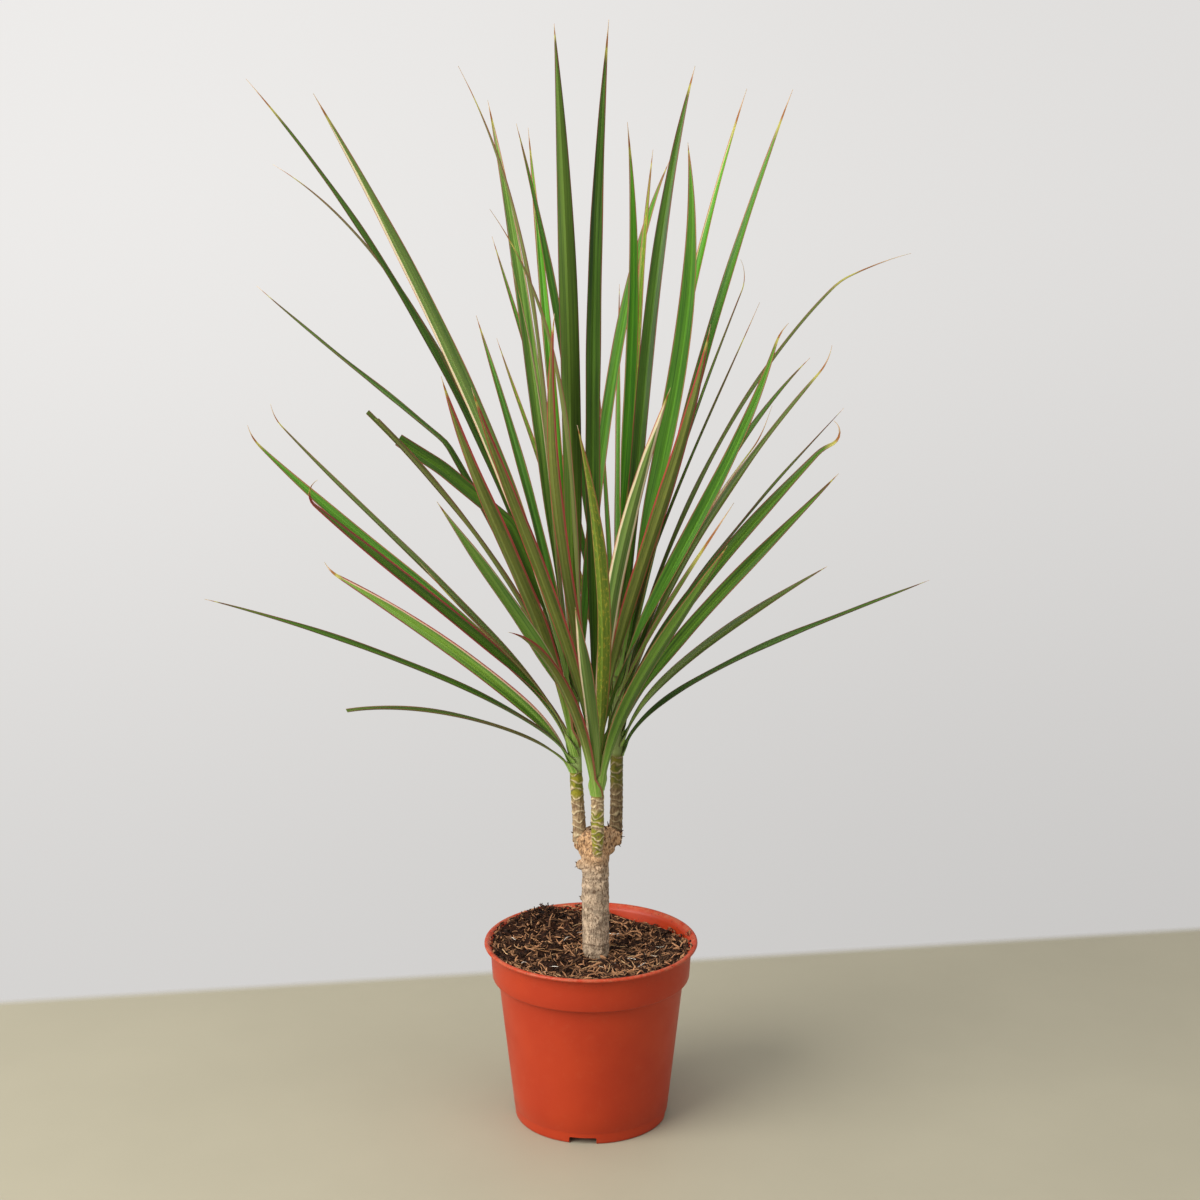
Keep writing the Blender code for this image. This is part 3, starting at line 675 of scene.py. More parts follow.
def cane_material(light):
    n = Nodes("cane_bark")
    place = n.place()
    height = n.height(place)
    grey_brown = scaled(light, 0.22, 0.175, 0.15)
    tan = scaled(light, 1.0, 0.80, 0.60)
    patches = n.noise(place, 210.0, 5.0, 0.65, 0.4)
    flecks = n.noise(n.place(scale=(1.0, 1.0, 0.42), turn=(0.5, 0.6, 0.0)), 950.0, 4.0, 0.65, 0.3)
    upright = n.noise(n.place(scale=(1.0, 1.0, 0.28), turn=(0.35, 0.0, 0.0)), 620.0, 4.0, 0.65, 0.5)
    base = n.mix(n.span(patches, 0.42, 0.60), light, scaled(light, 0.52))
    base = n.mix(n.times(n.span(flecks, 0.50, 0.61), 0.85), base, grey_brown)
    base = n.mix(n.times(n.span(upright, 0.54, 0.68), 0.60), base, grey_brown)
    base = n.mix(n.times(n.span(n.noise(place, 420.0, 3.0), 0.60, 0.70), 0.6), base, scaled(light, 1.35))
    # The sawn top and its collar are browner, and the foot is damp.
    collar = n.times(n.span(height, 0.156, 0.172), n.span(patches, 0.30, 0.55, 0.55, 1.0))
    base = n.mix(collar, base, n.mix(n.span(flecks, 0.42, 0.62), tan, scaled(light, 0.34, 0.23, 0.15)))
    damp = n.times(n.span(height, 0.118, 0.104), n.span(patches, 0.35, 0.6, 0.6, 1.0))
    base = n.mix(n.times(damp, 0.62), base, n.mix(0.5, base, (0.07, 0.055, 0.035), "MULTIPLY"))
    cracks = n.value("crack")
    base = n.mix(n.times(cracks, 0.8), base, (0.10, 0.055, 0.03))
    rough = n.span(flecks, 0.3, 0.7, 0.72, 0.9)
    normal = n.bump(flecks, 0.55, 0.0006, n.bump(upright, 0.35, 0.0006))
    return n.finish(base, rough, normal, Specular_IOR_Level=0.3)


def shoot_material(name, green, shade):
    n = Nodes(name)
    place = n.place()
    flecks = n.noise(n.place(scale=(1.0, 1.0, 0.30)), 900.0, 4.0, 0.6)
    patches = n.noise(place, 260.0, 4.0, 0.6)
    bark = n.mix(n.span(flecks, 0.36, 0.64), (0.44, 0.31, 0.17), (0.20, 0.12, 0.060))
    leaf = n.mix(n.span(patches, 0.35, 0.65), green, scaled(green, 2.2, 1.7, 2.0))
    base = n.mix(n.value("young"), bark, leaf)
    scar = n.value("scar")
    pale = n.mix(n.span(flecks, 0.35, 0.65), (0.80, 0.66, 0.42), (0.50, 0.37, 0.20))
    base = n.mix(n.times(scar, n.span(patches, 0.25, 0.5, 0.55, 1.0)), base, pale)
    base = n.mix(n.times(n.value("crack"), 0.75), base, (0.055, 0.032, 0.018))
    base = n.mix(n.value("sheath"), base, (0.38, 0.50, 0.16))
    # Painted shade: a shoot that stands in the other crowns' shadow is darkened all over, and made a little
    # warmer.
    if shade < 1.0:
        base = n.mix(1.0, base, (shade, shade * 0.96, shade * 0.86), "MULTIPLY")
    rough = n.span(n.value("young"), 0.0, 1.0, 0.78, 0.48)
    return n.finish(base, rough, n.bump(flecks, 0.45, 0.0004), Specular_IOR_Level=0.35)


def leaf_material(name, greens, look, roughness, brightness):
    """A blade's side. The blade's own attributes say where its midrib, margins, foot and dry tip are."""
    n = Nodes(name)
    blade = n.add("ShaderNodeAttribute", attribute_name="blade").outputs["Vector"]
    parts = n.add("ShaderNodeSeparateXYZ", {"Vector": blade})
    across, along = parts.outputs["X"], parts.outputs["Y"]
    edge = n.value("from_edge")
    dark, light = (scaled(green, brightness) for green in greens)

    def grain(scale, detail=2.0, rough=0.55):
        mapping = n.add("ShaderNodeMapping", {"Vector": blade, "Scale": scale})
        return n.noise(mapping.outputs["Vector"], 1.0, detail, rough)

    veins = grain((1.7, 0.012, 1.0), 3.0, 0.65)
    cloud = grain((0.16, 0.022, 1.0), 3.0, 0.55)
    midrib = n.span(n.maths("ABSOLUTE", across), 2.0, 0.2)
    lit = n.plus(n.times(veins, 0.95), n.times(n.plus(midrib, cloud), 0.22))
    base = n.mix(n.span(lit, 0.40, 0.82), dark, light)
    # Yellowed patches, and small brown spots
    if look["spots"] > 0.0:
        spots = n.times(n.span(grain((0.9, 0.25, 3.0), 3.0, 0.65), 0.52, 0.66), look["spots"])
        base = n.mix(spots, base, (0.42, 0.36, 0.04))
    specks = n.span(grain((1.7, 0.7, 5.0), 2.0, 0.5), 0.70, 0.74)
    base = n.mix(n.times(specks, 0.5), base, (0.13, 0.07, 0.02))
    # Pale foot where the leaf clasps its stem
    foot = n.times(n.span(along, 62.0, 4.0), 0.85)
    base = n.mix(foot, base, n.mix(n.span(veins, 0.35, 0.65), (0.15, 0.33, 0.030), (0.42, 0.56, 0.15)))
    # Stripe inside the margin, then the margin
    wobble = n.plus(edge, n.times(n.maths("SUBTRACT", grain((0.4, 0.05, 2.0)), 0.5), 0.7))
    reach = look["width"] + look["stripe_width"]
    stripe = n.span(wobble, reach + 0.30, reach)
    if look["side"]:
        stripe = n.times(stripe, n.span(n.times(across, float(look["side"])), 0.0, 0.4))
    base = n.mix(n.times(stripe, 0.9), base, look["stripe"])
    rim = n.mix(n.span(cloud, 0.35, 0.65), look["margin"], scaled(look["margin"], 0.55))
    clear = n.span(along, 20.0, 75.0, 0.05, 0.92)
    base = n.mix(n.times(n.span(wobble, look["width"] + 0.18, look["width"] - 0.12), clear), base, rim)
    # Dry tip: yellow, then red-brown, then straw
    dry = n.plus(n.value("dry"), n.times(n.maths("SUBTRACT", cloud, 0.5), 0.35))
    base = n.mix(n.span(dry, 0.05, 0.40), base, (0.40, 0.36, 0.08))
    base = n.mix(n.span(dry, 0.38, 0.52), base, (0.30, 0.115, 0.03))
    straw = n.mix(n.span(veins, 0.35, 0.65), (0.42, 0.26, 0.13), (0.62, 0.45, 0.27))
    base = n.mix(n.span(dry, 0.58, 0.80), base, straw)
    gloss = n.span(dry, 0.3, 0.6, roughness, 0.75)
    normal = n.bump(veins, 0.30, 0.00025)
    return n.finish(
        base, gloss, normal, Specular_IOR_Level=0.22,
        Subsurface_Weight=0.10, Subsurface_Radius=(0.35, 0.8, 0.12), Subsurface_Scale=0.0012,
    )


def floor_material(colour):
    n = Nodes("pale_floor")
    place = n.place()
    grain = n.noise(place, 9.0, 4.0, 0.55)
    base = n.mix(n.span(grain, 0.3, 0.7), colour, scaled(colour, 0.965))
    level = n.place(turn=(0.0, 0.0, -FLOOR_EDGE_TURN))
    turned = n.add("ShaderNodeSeparateXYZ", {"Vector": level}).outputs["Y"]
    away = n.add("ShaderNodeVectorMath", {0: place}, operation="LENGTH").outputs["Value"]
    whole = n.times(n.span(turned, FLOOR_EDGE + 0.008, FLOOR_EDGE - 0.008), n.span(away, 0.88, 0.58))
    n.put(n.shader.inputs["Alpha"], whole)
    return n.finish(base, 0.55, n.bump(n.noise(place, 240.0, 3.0), 0.02, 0.001), Specular_IOR_Level=0.3)


# Leaves' own shape, as the CAD's rule gives it


def leaf_line(base, leaf):
    """Points along the leaf's middle: a Bezier curve in the leaf's own upright plane, then its bends."""
    lean = math.radians(leaf["lean"])
    start = math.radians(min(LEAF_START_LEAN, leaf["lean"]))
    over = lean + math.radians(leaf["droop"])
    reach = leaf["reach"]
    handle = leaf.get("rise", LEAF_START_HANDLE * reach * math.cos(lean))
    bow = leaf.get("bow", 0.0) * 4.0 / 3.0
    end = Vector((math.sin(lean), 0.0, math.cos(lean))) * reach
    controls = (
        Vector((0.0, 0.0, 0.0)),
        Vector((math.sin(start) * handle, bow / 2, math.cos(start) * handle)),
        end - Vector((math.sin(over), 0.0, math.cos(over))) * 0.35 * reach + Vector((0.0, bow, 0.0)),
        end,
    )
    samples = []
    for i in range(CURVE_SAMPLES + 1):
        t = i / CURVE_SAMPLES
        weights = ((1 - t) ** 3, 3 * t * (1 - t) ** 2, 3 * t * t * (1 - t), t**3)
        samples.append(sum((c * w for c, w in zip(controls, weights)), Vector()))
    bent = [samples[0]]
    for i in range(CURVE_SAMPLES):
        share = (i + 0.5) / CURVE_SAMPLES
        turn = 0.0
        for low, high, degrees in leaf.get("bends", ()):
            turn += math.radians(degrees) * min(max((share - low) / (high - low), 0.0), 1.0)
        bent.append(bent[-1] + Matrix.Rotation(turn, 3, "Y") @ (samples[i + 1] - samples[i]))
    about = Matrix.Rotation(math.radians(leaf["bearing"]), 3, "Z")
    return [base + about @ point for point in bent]


def half_width(leaf, share):
    """Half the blade's width at this share of its length, from its waist at the stem to its long point."""
    along = share * leaf.get("cut", 1.0)
    from_base = LEAF_WAIST + (1.0 - LEAF_WAIST) * math.sin(math.pi / 2 * min(along / 0.4, 1.0))
    from_tip = 1.0 - max(1.0 - (1.0 - along) / 0.45, 0.0) ** 1.9
    return max(leaf["width"] / 2 * from_base * from_tip, LEAF_TIP_HALF_WIDTH)


def stem_radius(crown, height):
    top = len(LEAVES[crown]) * LEAF_PITCH + GROWING_TIP_RISE
    return SHOOT_RADIUS + (GROWING_TIP_RADIUS - SHOOT_RADIUS) * min(height / top, 1.0)


def make_blade(name, crown, height, leaf, seed, materials, thickness):
    """A grid laid along the leaf's line, wrapped round the stem at its foot and given its thickness."""
    bearing = math.radians(leaf["bearing"])
    outwards = Vector((math.cos(bearing), math.sin(bearing), 0.0))
    sideways = Vector((-math.sin(bearing), math.cos(bearing), 0.0))
    out = stem_radius(crown, height) + LEAF_GAP
    base = Vector(SHOOTS[crown][-1]) + outwards * out + Vector((0.0, 0.0, height))
    line = leaf_line(base, leaf)
    line = [base - Vector((0.0, 0.0, SHEATH_DROP))] + line
    reach = leaf["reach"]
    deselect_all()
    bpy.ops.mesh.primitive_grid_add(x_subdivisions=BLADE_STATIONS, y_subdivisions=BLADE_CELLS, size=1.0)
    obj = made(name)
    rolls = math.radians(leaf["roll"])
    wave = random.Random(seed)
    phase, ripple = wave.uniform(0.0, 6.28), wave.uniform(0.10, 0.35)
    flare = wave.uniform(-0.06, 0.06)
    blade, from_edge, dry, thick = [], [], [], []
    stations = {}
    for vert in obj.data.vertices:
        column = round((vert.co.x + 0.5) * BLADE_STATIONS)
        # Stations crowd towards the foot and the tip.
        t = column / BLADE_STATIONS
        share = t - 0.10 * math.sin(2.0 * math.pi * t) / (2.0 * math.pi) * 2.0
        if column not in stations:
            middle = along_line(line, share)
            step = 0.6 / CURVE_SAMPLES
            ahead = along_line(line, min(share + step, 1.0)) - along_line(line, max(share - step, 0.0))
            turned = min(max((share - ROLL_FROM) / (ROLL_TO - ROLL_FROM), 0.0), 1.0)
            roll = rolls * turned * turned * (3.0 - 2.0 * turned) + flare * math.sin(9.0 * share + phase)
            side = Matrix.Rotation(roll, 3, ahead) @ sideways
            upper = ahead.cross(side).normalized()
            along = share * reach
            half = half_width(leaf, share)
            clasp = 1.0 - eased(along, 2.0, SHEATH_LENGTH)
            half = max(half, SHEATH_HALF_WIDTH * clasp)
            axis = Vector(SHOOTS[crown][-1])
            away = (middle - Vector((axis.x, axis.y, middle.z))).length
            curl = clasp / max(away, 1.6) + (1.0 - clasp) * 2.0 * LEAF_KEEL / max(half, 0.3)
            pressed = LEAF_GAP * 0.6 * (1.0 - eased(along, 0.0, 5.0))
            middle = middle - outwards * pressed
            stations[column] = (middle, side.normalized(), upper, along, half, curl, clasp)
        middle, side, upper, along, half, curl, clasp = stations[column]
        a = vert.co.y * 2.0 * half
        turn = curl * a
        lateral = math.sin(turn) / curl
        rise = (1.0 - math.cos(turn)) / curl
        crease = 0.16 * half * (1.0 - clasp) * math.exp(-((a / max(0.16 * half, 0.1)) ** 2))
        waver = ripple * (1.0 - clasp) * math.sin(along * 0.09 + phase) * (a / max(half, 0.1))
        waver *= min(half / 3.0, 1.0)
        vert.co = (middle + side * lateral + upper * (rise - crease + waver)) * MM
        blade.append((a, along, seed * 7.31))
        from_edge.append(half - abs(a))
        left = (1.0 - along / reach) * reach
        dry.append(1.0 - left / leaf["dry"] if leaf["dry"] else 0.0)
        thick.append(0.35 + 0.65 * min((half - abs(a)) / 1.6, 1.0) if half > 0.5 else 0.35)
    point_values(obj, "blade", "FLOAT_VECTOR", blade)
    point_values(obj, "from_edge", "FLOAT", from_edge)
    point_values(obj, "dry", "FLOAT", [max(value, 0.0) for value in dry])
    group = obj.vertex_groups.new(name="thickness")
    for i, weight in enumerate(thick):
        group.add([i], weight, "REPLACE")
    for material in materials:
        obj.data.materials.append(material)
    solid = obj.modifiers.new("Thickness", "SOLIDIFY")
    solid.thickness = thickness
    solid.offset = 0.0
    solid.vertex_group = "thickness"
    solid.material_offset = 1
    solid.material_offset_rim = 0
    apply_modifiers(obj)
    obj.vertex_groups.clear()
    smooth(obj, 60.0)
    return obj


def check_place(obj, node):
    """Raises if a blade has strayed from the CAD node that it stands for."""
    low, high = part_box(node)
    points = [vert.co for vert in obj.data.vertices]
    for k in range(3):
        lowest, highest = min(p[k] for p in points), max(p[k] for p in points)
        if lowest < low[k] - STRAY or highest > high[k] + STRAY:
            raise RuntimeError(f"{obj.name} strays from its place on axis {k}: {lowest:.4f} to {highest:.4f}")


class DRAGONTREE_OT_pot(bpy.types.Operator):
    """Turn the nursery pot, cut its foot notches and drain holes, and colour it"""

    bl_idname = "dragontree.pot"
    bl_label = "Pot"
    bl_options = {"REGISTER", "UNDO"}

    def execute(self, context):
        settings = context.scene.dragontree_pot
        rings = [(0.0, 0.0, height, radius) for radius, height in (*POT_SECTION, POT_SECTION[0])]
        pot = grown_rings("nursery_pot", rings, settings.steps, caps=False)
        cutters = []
        for i in range(4):
            turn = math.radians(NOTCH_TURN + 90.0 * i)
            place = (FOOT_RADIUS * MM * math.cos(turn), FOOT_RADIUS * MM * math.sin(turn), 0.0)
            deselect_all()
            bpy.ops.mesh.primitive_cube_add(size=1.0, location=place, rotation=(0.0, 0.0, turn))
            notch = made(f"notch_{i + 1}")
            notch.scale = (3 * FOOT_RING_WIDTH * MM, NOTCH_WIDTH * MM, 2 * NOTCH_HEIGHT * MM)
            at_origin(notch)
            bevel = notch.modifiers.new("Round", "BEVEL")
            bevel.width = 0.0008
            bevel.segments = 3
            cutters.append(notch)
        for i in range(DRAIN_HOLES):
            turn = 2.0 * math.pi * (i + 0.5) / DRAIN_HOLES
            x, y = DRAIN_CIRCLE_RADIUS * math.cos(turn), DRAIN_CIRCLE_RADIUS * math.sin(turn)
            deselect_all()
            bpy.ops.mesh.primitive_cylinder_add(
                vertices=32, radius=DRAIN_HOLE_RADIUS * MM, depth=0.008, location=(x * MM, y * MM, 0.006)
            )
            cutters.append(made(f"drain_{i + 1}"))
        for cutter in cutters:
            cut = pot.modifiers.new(cutter.name, "BOOLEAN")
            cut.operation = "DIFFERENCE"
            cut.object = cutter
        apply_modifiers(pot)
        for cutter in cutters:
            remove(cutter)
        weld(pot, 0.000002, outwards=False)
        smooth(pot, 40.0)
        pot.data.materials.append(terracotta_plastic(tuple(settings.colour), settings.roughness))
        rides(pot, "terracotta_plastic", "pot")
        return {"FINISHED"}


def from_cane(x, y):
    return math.hypot(x - CANE_FOOT[0], y - CANE_FOOT[1])


def mix_height(x, y):
    """Height of the potting mix: dished, heaped to the lip at the back left, lower at the back right."""
    dish = MIX_TOP + 0.0012 * (x * x + y * y) - 0.012 * x - 0.0012 * x * y
    return dish + 0.7 * math.sin(x / 7.0 + 1.0) * math.cos(y / 8.0)


def mix_surface(x, y):
    """The lumpy surface: the height with crumbs and hollows, and a heap at the back left."""
    away = math.hypot(x, y)
    lumps = 2.6 * noise.noise(Vector((x, y, 3.0)) / 7.5) + 2.6 * noise.noise(Vector((x, y, 9.0)) / 3.4)
    crumbs = 0.7 * noise.noise(Vector((x, y, 5.0)) / 1.3)
    heap = 2.2 * math.exp(-((x + 30.0) ** 2 + (y - 43.0) ** 2) / 260.0)
    hollow = -1.4 * math.exp(-((x - 30.0) ** 2 + (y - 44.0) ** 2) / 340.0)
    foot = 1.2 * math.exp(-((from_cane(x, y) - 10.5) ** 2) / 8.0)
    banked = 1.5 * eased(away, 44.0, 58.0) * eased(62.0 - 0.6 * x - 1.1 * y, 0.0, 25.0)
    rough = (lumps + crumbs) * eased(60.0 - away, 0.0, 5.0)
    return mix_height(x, y) + rough + heap + hollow + foot + banked - 0.5


def resting_height(x, y):
    """Height that a loose bit rests at: on the mix, or beyond its edge on the flare inside the lip."""
    away = math.hypot(x, y)
    inside = min(1.0, (MIX_RADIUS - 0.4) / away) if away > 0.0 else 1.0
    surface = mix_surface(x * inside, y * inside)
    return surface if away < MIX_RADIUS else max(surface, FLARE_FOOT + (away - MIX_RADIUS))


class DRAGONTREE_OT_mix(bpy.types.Operator):
    """Fill the pot with potting mix: its body, and the crumbs, coir fibres, chips and roots that lie on it"""

    bl_idname = "dragontree.mix"
    bl_label = "Potting mix"
    bl_options = {"REGISTER", "UNDO"}

    def execute(self, context):
        settings = context.scene.dragontree_mix
        rich = tuple(settings.colour)
        body = self.body()
        soil = mix_material("coir_mix", (0.006, 0.003, 0.002), scaled(rich, 0.55), 330.0, 0.95, tinted=False)
        body.data.materials.append(soil)
        rides(body, "coir_mix", "potting_mix")
        chance = random.Random(11)
        crumb = self.crumb()
        fibres = self.fibres()
        dark = mix_material("dark_crumbs", (0.005, 0.002, 0.0015), (0.13, 0.052, 0.024), 700.0)
        brown = mix_material("coir_fibre", scaled(rich, 0.10), scaled(rich, 3.4, 5.2, 6.4), 420.0, 0.8)
        pale = mix_material("pale_fibre", (0.30, 0.14, 0.055), (0.66, 0.42, 0.21), 380.0, 0.75)
        white = mix_material("root_white", (0.55, 0.47, 0.36), (0.85, 0.80, 0.70), 380.0, 0.7)
        # Each kind of bit: its templates, count, lengths, widths, tilt, lift and material
        kinds = (
            ("mix_crumbs", [crumb], settings.crumbs, (1.2, 3.6), (0.8, 2.0), 50.0, 0.4, dark),
            ("mix_chips", [crumb], settings.chips, (3.0, 7.0), (1.2, 2.6), 35.0, 0.8, brown),
            ("mix_fibres", fibres, settings.fibres, (3.0, 10.0), (0.45, 1.15), 42.0, 1.5, brown),
            ("mix_long_fibres", fibres, settings.long_fibres, (7.0, 15.0), (0.42, 0.75), 20.0, 2.0, pale),
        )
        for kind in kinds:
            self.scatter(chance, *kind)
        self.heap_bits("mix_heap_crumbs", [crumb, *fibres], dark, chance)
        self.strewn("mix_roots", fibres, white)
        for template in (crumb, *fibres):
            remove(template)
        return {"FINISHED"}

    def body(self):
        """A grid trimmed to the pot's round, lumpy on top, and drawn down to the pot's floor."""
        deselect_all()
        size = 2.0 * MIX_RADIUS * MM
        bpy.ops.mesh.primitive_grid_add(x_subdivisions=MIX_CELLS, y_subdivisions=MIX_CELLS, size=size)
        body = made("potting_mix_body")
        for vert in body.data.vertices:
            # The square grid is drawn in to a round one.
            x, y = vert.co.x / MM, vert.co.y / MM
            square = max(abs(x), abs(y))
            if square > 0.0:
                scale = square / math.hypot(x, y)
                x, y = x * scale, y * scale
            vert.co = (x * MM, y * MM, mix_surface(x, y) * MM)
        edit_all()
        bpy.ops.mesh.region_to_loop()
        radius, height = MIX_RADIUS, None
        for new_radius, new_height in MIX_SIDE:
            bpy.ops.mesh.extrude_region_move(TRANSFORM_OT_translate={"value": (0.0, 0.0, 0.0)})
            scale = new_radius / radius
            flat = 0.0 if height is None else 1.0
            bpy.ops.transform.resize(value=(scale, scale, flat), center_override=(0.0, 0.0, new_height * MM))
            if height is not None:
                bpy.ops.transform.translate(value=(0.0, 0.0, (new_height - height) * MM))
            radius, height = new_radius, new_height
        bpy.ops.mesh.fill()
        bpy.ops.object.mode_set(mode="OBJECT")
        weld(body, 0.000005)
        smooth(body, 70.0)
        return body

    def crumb(self):
        deselect_all()
        bpy.ops.mesh.primitive_ico_sphere_add(subdivisions=1, radius=0.5)
        crumb = made("crumb")
        edit_all()
        bpy.ops.transform.resize(value=(1.0, 0.8, 0.55))
        bpy.ops.transform.vertex_random(offset=0.12, seed=4)
        bpy.ops.object.mode_set(mode="OBJECT")
        return crumb

    def fibres(self):
        """Unit-long fibres, each grown from a small ring and bent its own way."""
        made_fibres = []
        for k, (bend, lift, twist) in enumerate(FIBRE_BENDS):
            rings = []
            for i in range(FIBRE_RINGS + 1):
                t = i / FIBRE_RINGS
                swing = bend * math.sin(math.pi * t) + 0.05 * twist * math.sin(2.0 * math.pi * t)
                rise = lift * math.sin(math.pi * t)
                size = 0.5 * (0.45 + 0.55 * math.sin(math.pi * (0.15 + 0.7 * t)))
                ring = (swing, rise, t - 0.5, size)
                rings.append([part * 1000.0 for part in ring])
            thin = [(x, y, z, radius * FIBRE_THICKNESS) for x, y, z, radius in rings]
            made_fibres.append(grown_rings(f"fibre_{k + 1}", thin, 4))
        return made_fibres

    def copy_at(self, template, matrix, tint):
        mesh = template.data.copy()
        mesh.transform(matrix)
        values = mesh.attributes.new("tint", "FLOAT", "POINT")
        values.data.foreach_set("value", [tint] * len(mesh.vertices))
        obj = bpy.data.objects.new("bit", mesh)
        bpy.context.scene.collection.objects.link(obj)
        return obj

    def fibre_matrix(self, place, heading, tilt, spin, length, width):
        lay = Matrix.Rotation(heading, 4, "Z") @ Matrix.Rotation(math.pi / 2 + tilt, 4, "Y")
        across = width * MM / FIBRE_THICKNESS
        size = Matrix.Diagonal((across, across, length * MM, 1.0))
        return Matrix.Translation(place * MM) @ lay @ Matrix.Rotation(spin, 4, "Z") @ size

    def crumb_matrix(self, place, heading, lean, length, width, height):
        lay = Matrix.Rotation(heading, 4, "Z") @ Matrix.Rotation(lean, 4, "X")
        size = Matrix.Diagonal((length * MM, width * MM, height * MM, 1.0))
        return Matrix.Translation(place * MM) @ lay @ size

    def scatter(self, chance, name, templates, count, lengths, widths, tilt, lift, material):
        bits = []
        while len(bits) < count:
            away = FLARE_RADIUS * math.sqrt(chance.random())
            bearing = chance.uniform(0.0, 2.0 * math.pi)
            x, y = away * math.cos(bearing), away * math.sin(bearing)
            low_side = away > MIX_RADIUS - 1.0 and mix_surface(x * 0.95, y * 0.95) < FLARE_FOOT - 2.0
            if from_cane(x, y) < CANE_CLEARANCE or low_side:
                continue
            length = chance.uniform(*lengths)
            width = chance.uniform(*widths)
            heading = chance.uniform(0.0, 2.0 * math.pi)
            if away + length / 2 > MIX_RADIUS:
                heading = bearing + math.pi / 2 + chance.uniform(-0.35, 0.35)
                length = min(length, 6.0)
            z = resting_height(x, y) + chance.uniform(0.0, lift) * (1.0 if away < MIX_RADIUS else 0.3)
            place = Vector((x, y, z))
            lean = math.radians(chance.uniform(-tilt, tilt))
            template = chance.choice(templates)
            if template.name.startswith("crumb"):
                matrix = self.crumb_matrix(place, heading, lean, length, width, length * CRUMB_FLATNESS)
            else:
                matrix = self.fibre_matrix(place, heading, lean, chance.uniform(0.0, 6.28), length, width)
            bits.append(self.copy_at(template, matrix, chance.random()))
        self.settle(bits, name, material)

    def heap_bits(self, name, templates, material, chance):
        """Loose bits heaped over the lip at the back left."""
        bits = []
        for _ in range(HEAP_BITS):
            bearing = math.radians(chance.gauss(HEAP_BEARING, HEAP_SPREAD))
            away = chance.uniform(47.0, 59.0)
            x, y = away * math.cos(bearing), away * math.sin(bearing)
            heaped = math.exp(-((math.degrees(bearing) - HEAP_BEARING) / 15.0) ** 2)
            place = Vector((x, y, mix_surface(x, y) + chance.uniform(0.0, 3.2) * heaped))
            template = chance.choice(templates)
            heading, lean = chance.uniform(0.0, 6.28), math.radians(chance.uniform(-60.0, 60.0))
            length = chance.uniform(1.6, 5.0)
            if template.name.startswith("crumb"):
                height = length * CRUMB_FLATNESS
                matrix = self.crumb_matrix(place, heading, 0.0, length * 0.8, 1.1, height)
            else:
                matrix = self.fibre_matrix(place, heading, lean, 0.0, length, 0.8)
            bits.append(self.copy_at(template, matrix, chance.random()))
        self.settle(bits, name, material)

    def strewn(self, name, fibres, material):
        """Lays the few pale roots and splinters one by one."""
        bits = []
        for i, (x, y, heading, length, width) in enumerate(ROOTS):
            place = Vector((x, y, mix_surface(x, y) + 1.3))
            matrix = self.fibre_matrix(place, math.radians(heading), 0.05, float(i), length, width)
            bits.append(self.copy_at(fibres[i % len(fibres)], matrix, 0.3 + 0.5 * (i % 3)))
        self.settle(bits, name, material)

    def settle(self, bits, name, material):
        whole = joined(bits, name)
        whole.data.materials.clear()
        whole.data.materials.append(material)
        smooth(whole, 60.0)
        rides(whole, "coir_mix")


def cane_point(height):
    """Centre and radius of the cane at a height."""
    for (x0, y0, z0, r0), (x1, y1, z1, r1) in zip(CANE, CANE[1:]):
        if height <= z1 or z1 == CANE[-1][2]:
            t = min(max((height - z0) / (z1 - z0), 0.0), 1.0)
            return x0 + (x1 - x0) * t, y0 + (y1 - y0) * t, r0 + (r1 - r0) * t
    return CANE[-1][0], CANE[-1][1], CANE[-1][3]


